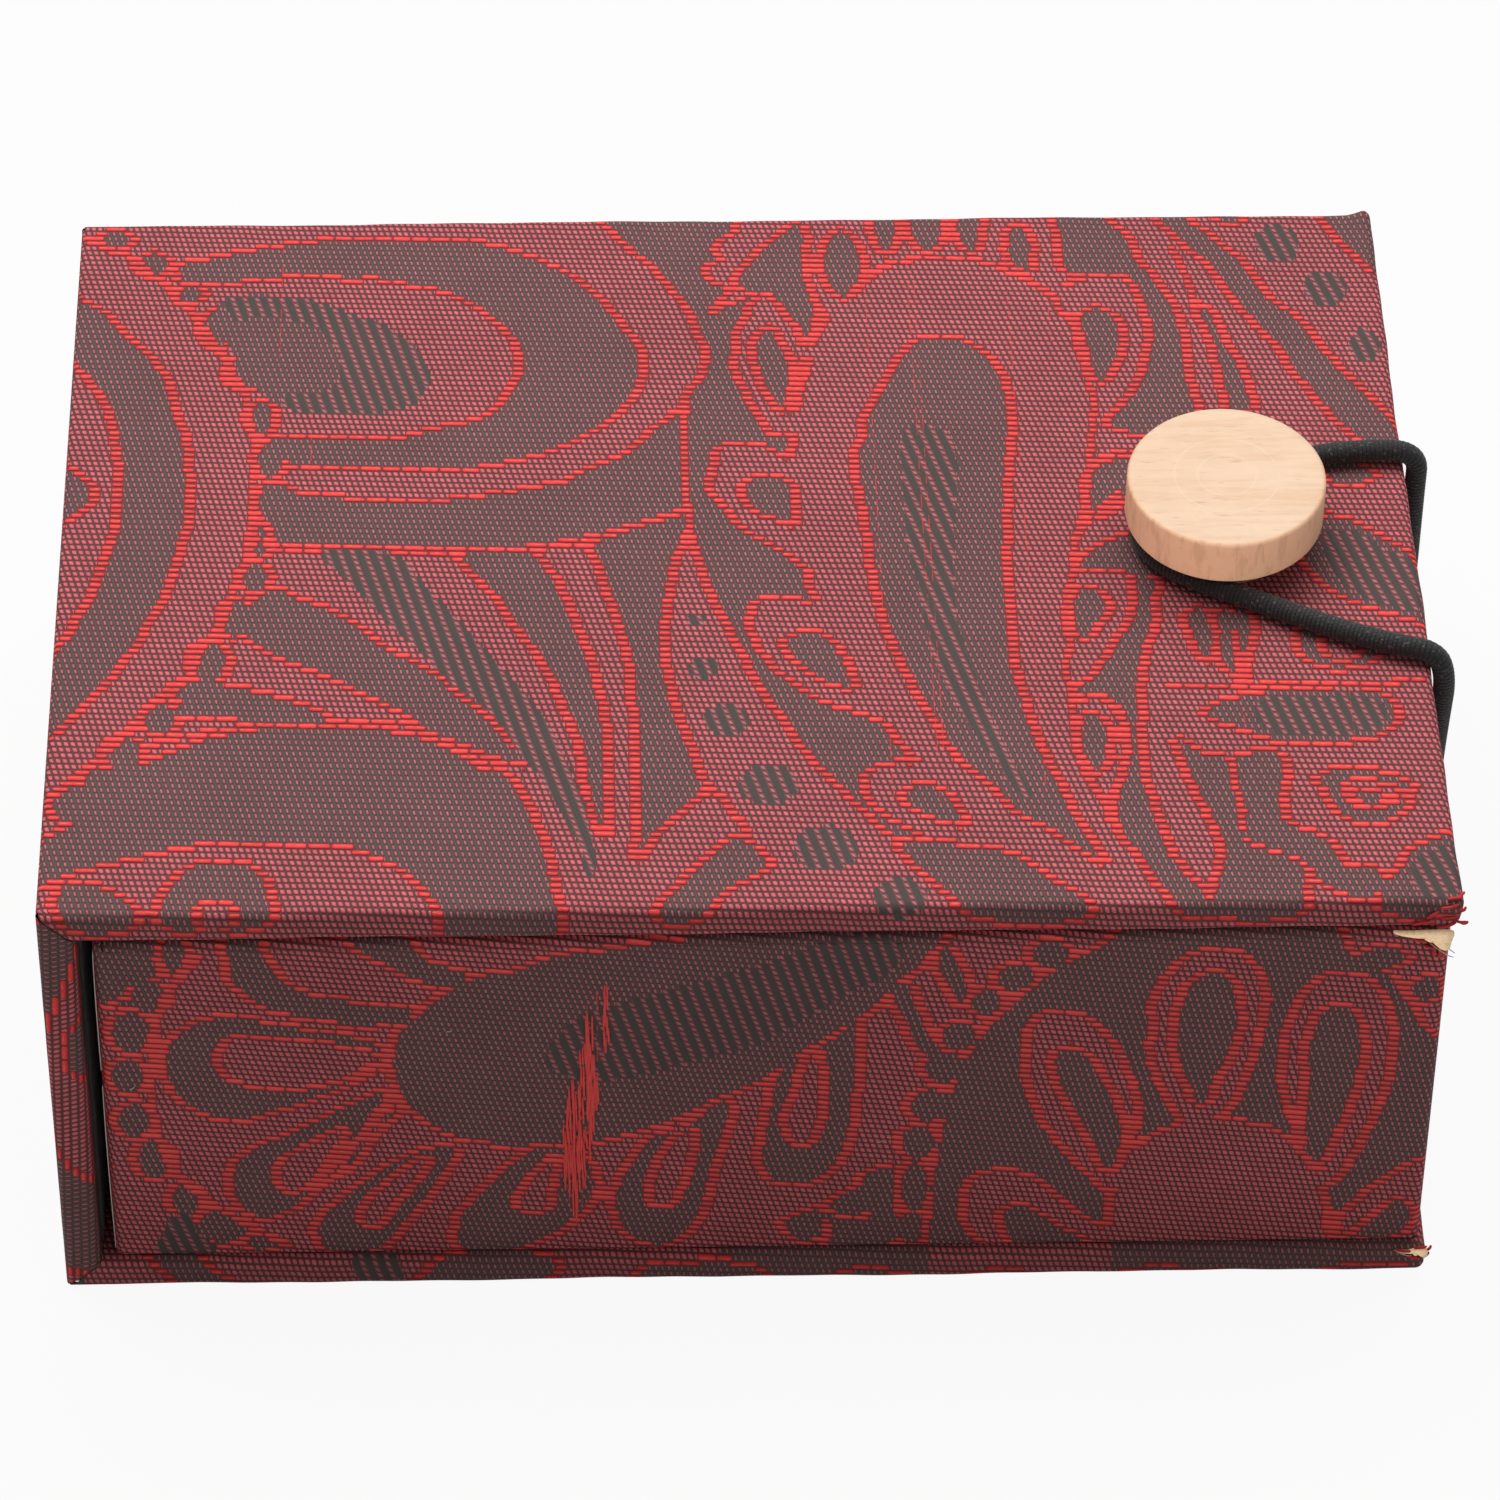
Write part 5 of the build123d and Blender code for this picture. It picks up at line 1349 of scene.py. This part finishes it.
# Kept CAD pieces: greyboard, infill paper and steel
inner = {
    "board": rgb(205, 174, 128), "boardFleck": rgb(150, 124, 92),
    "paper": rgb(232, 226, 212), "paperFleck": rgb(205, 196, 178),
    "steel": rgb(178, 178, 180), "steelScratch": rgb(120, 120, 124),
    "satin": rgb(214, 182, 120), "satinShade": rgb(172, 138, 84),
    # dark, darkShade: the spine lining's near-black satin, painted shade
    "dark": rgb(50, 38, 36), "darkShade": rgb(32, 25, 24),
    "yarn": 0.00022,
}


# Pulp: fibres as stretched noise, flecks where a finer noise is high
def pulpMaterial(name, color, fleck, fine):
    made, shader, here = newMaterial(name, Roughness=0.9, Specular_IOR_Level=0.2)
    fibre = noiseOf(here, (fine, fine * 0.35, fine * 2.2), 4.0, 0.6)
    shade = fade(fibre, 0.35, 0.75, 0.0, 0.5) + fade(noiseOf(here, fine * 2.5), 0.62, 0.72, 0.0, 0.6)
    dress(shader, mottled(mixColor(shade, color, fleck), here, 180.0, 0.2), fibre, 0.00005)
    return made


# Brushed steel: fine lines along one way
def steelMaterial(look):
    made, shader, here = newMaterial("screwSteel", Metallic=1.0, Roughness=0.32)
    lines = noiseOf(here, (400.0, 9000.0, 400.0), 3.0, 0.6)
    dress(shader, mixColor(fade(lines, 0.3, 0.8), look["steel"], look["steelScratch"]), lines, 0.000006)
    return made


# Lining satin: close threads across both ways as sines, with soft watered bands of stretched noise; the darker
# colour lies in the watered bands and, as painted shade, between the threads
def satinMaterial(look, name, ways):
    made, shader, here = newMaterial(name, Roughness=0.38, Sheen_Weight=0.5, Sheen_Roughness=0.35,
                                     Anisotropic=0.4)
    first, second = (split(here)[way] for way in ways)
    pitch = 2 * np.pi / look["yarn"]
    weave = calc("SINE", first * pitch) * 0.6 + calc("SINE", second * (pitch * 2.1) + first * (pitch / 5)) * 0.4
    watered = noiseOf(here, (40.0, 300.0, 300.0))
    shade = fade(watered, 0.3, 0.75, 0.0, 0.25) + fade(weave, -1.0, 1.0, 0.35, 0.0)
    dress(shader, mottled(mixColor(shade, look["satin"], look["satinShade"]), here, 300.0, 0.15), weave, 0.000025)
    return made


greyboard = pulpMaterial("greyboard", inner["board"], inner["boardFleck"], 900.0)
infillPaper = pulpMaterial("infillPaper", inner["paper"], inner["paperFleck"], 1400.0)
screwSteel = steelMaterial(inner)
for material, nodes in (
        (greyboard, ("base_board", "spine_board", "cover_board", "tray_floor", "tray_front_wall",
                     "tray_back_wall", "tray_left_wall", "tray_right_wall")),
        (infillPaper, ("base_infill_paper", "tray_infill_paper")),
        (screwSteel, ("button_screw", "button_washer"))):
    for node in nodes:
        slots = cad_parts[node].data.materials
        slots.clear()
        slots.append(material)
print("boards coloured")


# A soft slab in a node's box: flat where it is glued, crowned with rounded, faintly puckered edges in front.
# Height is the thickness times a quarter circle over the distance to each border
def softSlab(name, node, body, axis, way, material, edge, crown, ripple, step):
    low, high = (np.array(corner) * 1000 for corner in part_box(node))
    i, j = (k for k in range(3) if k != axis)
    size = high - low

    def marks(length):
        near = edge * (1 - np.cos(np.linspace(0, quarter, 7)))
        return np.concatenate((near, np.linspace(edge, length - edge, max(2, int(length / step)))[1:-1],
                               length - near[::-1]))

    a, b = marks(size[i])[None, :], marks(size[j])[:, None]
    fromA, fromB = np.minimum(a, size[i] - a), np.minimum(b, size[j] - b)
    rise = [np.sqrt(1 - (1 - np.minimum(d / edge, 1)) ** 2) for d in (fromA, fromB)]
    swell = 1 - crown + crown * np.sqrt(np.sin(np.pi * a / size[i]).clip(0) * np.sin(np.pi * b / size[j]).clip(0))
    pucker = ripple * (np.exp(-fromB / 5) * np.sin(0.75 * a + 1.3 * np.sin(0.21 * a))
                       + np.exp(-fromA / 5) * np.sin(0.8 * b + 1.1 * np.sin(0.17 * b)))
    height = size[axis] * rise[0] * rise[1] * np.clip(swell * (1 - ripple + pucker), 0, 1)
    patches = []
    for top, out in ((height, way), (0 * height, -way)):
        points = np.zeros(height.shape + (3,))
        points[..., i], points[..., j] = low[i] + a, low[j] + b
        points[..., axis] = (low if way > 0 else high)[axis] + way * top
        quads = gridFaces(points, out * np.eye(3)[axis])
        flat = points.reshape(-1, 3)
        patches.append((flat, quads, flat[quads][:, :, [i, j]]))
    piece = meshPiece(name, patches, material)
    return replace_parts(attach(piece, body), node)


satinUp = satinMaterial(inner, "liningSatin", (0, 1))
satinAcross = satinMaterial(inner, "liningSatinSides", (1, 2))
satinAlong = satinMaterial(inner, "liningSatinLong", (0, 2))
# the spine's lining is a near-black satin: painted shade for the deep gap between spine and tray
paintedShadeSatin = satinMaterial({**inner, "satin": inner["dark"], "satinShade": inner["darkShade"]}, "liningSatinPaintedShade",
                          (1, 2))
for name, node, body, axis, way, material in (
        ("liningFront", "lining_front", "tray", 1, 1, satinAlong),
        ("liningBack", "lining_back", "tray", 1, -1, satinAlong),
        ("liningLeft", "lining_left", "tray", 0, 1, satinAcross),
        ("liningRight", "lining_right", "tray", 0, -1, satinAcross)):
    softSlab(name, node, body, axis, way, material, edge=0.8, crown=0.1, ripple=0.06, step=1.2)
for name, node, body, axis, way, material, flat in (
        ("coverLining", "cover_lining", "cover", 2, -1, satinUp, (0.1206, 0.093)),
        ("spineLining", "spine_lining", "spine", 0, 1, paintedShadeSatin, (0.0372, 0.093))):
    lining = softSlab(name, node, body, axis, way, material, edge=0.3, crown=0.0, ripple=0.05, step=1.5)
    "cover_board" if body == "cover" else "spine_board"
pad = softSlab("floorPad", "pad_satin", "tray", 2, 1, satinUp, edge=3.2, crown=0.22, ripple=0.05, step=1.0)
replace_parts(pad, "pad_foam")
print("linings made")

# Worn places: torn board at the tray's and the base's front right corners, loose and pulled yarns
wear = {
    "rimTorn": [(58.9, 45.3), (60.2, 44.9), (61.3, 45.0), (62.2, 44.4), (62.9, 44.3), (63.3, 43.7), (64.0, 43.6),
                (64.3, 44.5), (64.5, 45.2), (62.6, 45.35), (60.6, 45.3)],
    "baseTorn": [(62.2, 3.05), (62.9, 2.75), (63.4, 2.9), (63.9, 2.45), (64.4, 2.6), (64.8, 2.2), (65.1, 2.5),
                 (65.0, 3.0), (64.2, 3.15), (63.2, 3.0)],
    "rimY": -48.68, "rimLean": 0.35, "baseY": -49.58, "baseLean": 0.2,
    "thickness": 0.35,
    "yarnRadius": 0.15, "fibreRadius": 0.05, "pulledRadius": 0.1,
    "yarnSides": 7, "yarnStep": 0.12, "yarnTaper": 0.35, "seed": 7,
}
# each loose yarn is three points, x, y, z
looseOnCover = [
    60.4, -49.6, 47.3, 61.2, -49.75, 47.6, 62.0, -49.6, 47.7, 61.7, -49.6, 48.1, 62.1, -49.8, 48.6,
    62.7, -49.55, 48.9, 62.9, -49.5, 49.3, 63.7, -49.8, 49.45, 64.5, -49.35, 49.6, 63.5, -49.1, 50.0,
    64.2, -49.2, 50.25, 64.8, -48.9, 50.0, 64.5, -48.9, 49.95, 64.9, -48.6, 50.2, 65.1, -48.1, 49.9,
    62.7, -49.6, 46.9, 63.6, -49.8, 47.1, 64.4, -49.5, 47.4, 64.4, -49.5, 47.6, 64.9, -49.5, 47.3,
    65.4, -49.1, 47.1, 63.0, -49.5, 48.0, 63.8, -49.8, 48.3, 64.6, -49.4, 48.1, 64.7, -49.2, 48.7,
    65.1, -49.1, 48.3, 65.3, -48.6, 48.5, 64.9, -49.0, 46.9, 65.3, -49.0, 46.6, 65.6, -48.9, 46.9]
looseOnTray = [
    61.8, -48.6, 43.6, 62.6, -48.95, 43.3, 63.4, -48.6, 43.5, 62.7, -48.6, 43.9, 62.9, -49.0, 43.0,
    62.8, -48.6, 42.2, 63.2, -48.6, 43.8, 63.4, -48.95, 42.9, 63.3, -48.6, 42.0, 63.7, -48.6, 43.6,
    63.8, -48.95, 42.8, 63.7, -48.6, 42.1, 60.6, -48.6, 44.6, 61.3, -48.9, 44.4, 62.0, -48.6, 44.2,
    62.0, -49.5, 3.2, 62.9, -49.7, 3.0, 63.6, -49.5, 2.9, 63.8, -49.5, 3.3, 64.4, -49.6, 3.5, 65.0, -49.2, 3.2,
    64.4, -49.5, 2.2, 64.9, -49.6, 2.0, 65.3, -49.1, 2.3, 64.9, -49.2, 2.8, 65.3, -49.2, 2.6, 65.5, -48.8, 2.9,
    63.1, -49.6, 2.4, 63.7, -49.8, 2.2, 64.3, -49.6, 2.1]
paleFibres = [
    62.4, -48.7, 43.9, 63.9, -49.5, 43.0, 64.6, -48.9, 42.3, 63.2, -48.7, 44.2, 64.2, -49.3, 43.6,
    64.7, -49.0, 42.9, -28.1, -48.5, 33.6, -27.8, -48.7, 33.8, -27.5, -48.5, 33.7, -57.6, -48.5, 26.4,
    -57.4, -48.7, 26.6, -57.2, -48.5, 26.8, 61.9, -49.5, 3.1, 62.9, -49.9, 2.6, 63.6, -49.6, 2.4,
    34.6, -48.5, 29.3, 34.9, -48.7, 29.5, 35.1, -48.5, 29.2, 12.1, -48.5, 17.9, 12.3, -48.7, 18.2,
    12.6, -48.5, 18.1, -60.1, -48.45, 44.6, -60.2, -48.55, 38, -60.15, -48.5, 29, -60.15, -48.5, 27,
    -60.25, -48.55, 18, -60.1, -48.45, 4.6]


# Warp yarns pulled out of the front in bunches that step down to the left, each yarn only part of the way:
# x and z of the upper end, x and z of the lower one, width, number of yarns
pulled = [
    (-13.3, 41.0, -13.2, 29.5, 0.9, 12), (-15.0, 36.0, -14.8, 17.5, 1.6, 62),
    (-16.5, 27.0, -16.3, 7.5, 1.7, 62), (-15.6, 22.5, -15.2, 12.0, 1.4, 16)]


def pulledYarns(bunches, random):
    lines = []
    for x0, z0, x1, z1, width, count in bunches:
        for _ in range(count):
            middle = random.beta(2.2, 2.2)
            t = np.clip(middle + np.array((-0.5, -0.17, 0.17, 0.5)) * random.uniform(0.12, 0.3), 0, 1)
            side = random.normal(0, 0.28) * width * (1.2 - abs(2 * middle - 1))
            x = x0 + (x1 - x0) * t + side + random.uniform(-0.04, 0.04, 4)
            y = -48.55 - np.array((-0.15, 0.1, 0.1, -0.15)) * random.uniform(0.8, 1.4)
            lines.append(np.stack((x, y, z0 + (z1 - z0) * t), 1))
    return lines


# Fibrous yarn: stretched noise along and across it
def yarnMaterial(name, color, dull):
    made, shader, here = newMaterial(name, Roughness=0.65, Specular_IOR_Level=0.25)
    fibre = noiseOf(here, (1800.0, 6000.0, 6000.0), 3.0, 0.6)
    dress(shader, mixColor(fibre, color, dull), fibre, 0.00003)
    return made


def looseYarns(name, lines, radius, material, body):
    parts = []
    for points in lines:
        line, s = evenly(nurbsLine(points), wear["yarnStep"])
        thin = 1 - wear["yarnTaper"] * (2 * s / s[-1] - 1) ** 4
        parts.append(tubeParts(line, radius * thin, wear["yarnSides"], s))
    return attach(meshPiece(name, parts, material), body)


# A ragged outline in x and z, as a thin plate standing just in front of the cloth
def plateParts(border, y, thickness, lean):
    p = smoothCurve(np.ravel(border), True, 3)
    rings = [np.insert(p.mean(0) + (p - p.mean(0)) * k, 1, level, axis=1) for k, level in (
        (1.0, y + thickness), (1.0, y), (0.55, y - 0.05), (0.02, y - 0.05))]
    for ring in rings:
        ring[:, 1] -= lean * (p[:, 1].max() - ring[:, 2])
    points = np.stack([np.concatenate((ring, ring[:1])) for ring in rings])
    quads = gridFaces(points, (0, -1, 0))
    flat = points.reshape(-1, 3)
    return flat, quads, flat[quads][:, :, [0, 2]]


tornBoard = pulpMaterial("tornBoard", rgb(252, 222, 180), rgb(214, 172, 126), 2400.0)
torn = meshPiece("tornBoard", [
    plateParts(wear["rimTorn"], wear["rimY"], wear["thickness"], wear["rimLean"]),
    plateParts(wear["baseTorn"], wear["baseY"], wear["thickness"], wear["baseLean"])], tornBoard)
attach(torn, "tray")
redYarn = yarnMaterial("looseYarn", rgb(226, 66, 68), rgb(170, 40, 44))
pulledRed = yarnMaterial("pulledYarn", rgb(255, 104, 98), rgb(222, 62, 62))
paleYarn = yarnMaterial("paleFibre", rgb(226, 216, 206), rgb(190, 176, 166))
for name, lines, radius, material, body in (
        ("looseCoverYarns", np.reshape(looseOnCover, (-1, 3, 3)), wear["yarnRadius"], redYarn, "cover"),
        ("looseTrayYarns", np.reshape(looseOnTray, (-1, 3, 3)), wear["yarnRadius"], redYarn, "tray"),
        ("looseFibres", np.reshape(paleFibres, (-1, 3, 3)), wear["fibreRadius"], paleYarn, "tray"),
        ("pulledYarns", pulledYarns(pulled, np.random.default_rng(wear["seed"])), wear["pulledRadius"],
         pulledRed, "tray")):
    looseYarns(name, lines, radius, material, body)
print("worn places made")

# Floor and light
scene.view_settings.view_transform = "Standard"
studio = {
    "floorColor": rgb(205, 204, 202),
    "floorLit": 0.07,        # share of the floor that takes shadow in the camera's view
    "world": 0.3,
    "lamps": {
        "key": ((-0.25, 0.35, 1.0), 0.7, 8.0),
        "front": ((-0.2, -0.95, 0.16), 0.8, 7.0),
        "rear": ((0.3, 0.6, 0.85), 0.7, 4.0),
    },
    "aim": (0, 0, 0.03),
    "frontLit": (disc, neck, torn),     # the low front lamp lights only these pale pieces
}


# One for a ray of the kinds named, nought for others
def isRay(tree, *kinds):
    path = tree.nodes.new("ShaderNodeLightPath").outputs
    return calc("MINIMUM", 1.0, sum(Value(path["Is " + kind + " Ray"]) for kind in kinds))


def addStudio(look):
    made = bpy.data.materials.new("studioFloor")
    made.use_nodes = True
    tree = made.node_tree
    tree.nodes.clear()
    plain = addNode(tree, "ShaderNodeBsdfDiffuse", {"Color": look["floorColor"]})
    white = addNode(tree, "ShaderNodeEmission", {"Color": (1, 1, 1, 1), "Strength": 1.0})
    share = isRay(tree, "Camera", "Glossy", "Transmission") * (1 - look["floorLit"])
    both = addNode(tree, "ShaderNodeMixShader", {0: share, 1: plain, 2: white})
    plug(tree.nodes.new("ShaderNodeOutputMaterial").inputs[0], both)
    mesh = bpy.data.meshes.new("floor")
    mesh.from_pydata([(-3, -3, 0), (3, -3, 0), (3, 3, 0), (-3, 3, 0)], [], [(0, 1, 2, 3)])
    mesh.materials.append(made)
    ground = bpy.data.objects.new("floor", mesh)
    scene.collection.objects.link(ground)
    world = bpy.data.worlds.new("studio")
    world.use_nodes = True
    scene.world = world
    back = world.node_tree.nodes["Background"].inputs
    plug(back["Strength"], mixNumber(isRay(world.node_tree, "Camera", "Transmission"), look["world"], 1.0))
    plug(back["Color"], (1, 1, 1, 1))
    for name, (place, size, power) in look["lamps"].items():
        data = bpy.data.lights.new(name, "AREA")
        data.energy, data.size = power, size
        lamp = bpy.data.objects.new(name, data)
        lamp.location = place
        lamp.rotation_euler = (Vector(look["aim"]) - Vector(place)).to_track_quat("-Z", "Y").to_euler()
        scene.collection.objects.link(lamp)
        if name == "front":
            chosen = bpy.data.collections.new("frontLit")
            for piece in look["frontLit"]:
                chosen.objects.link(piece)
            lamp.light_linking.receiver_collection = chosen


addStudio(studio)
print("studio lit")
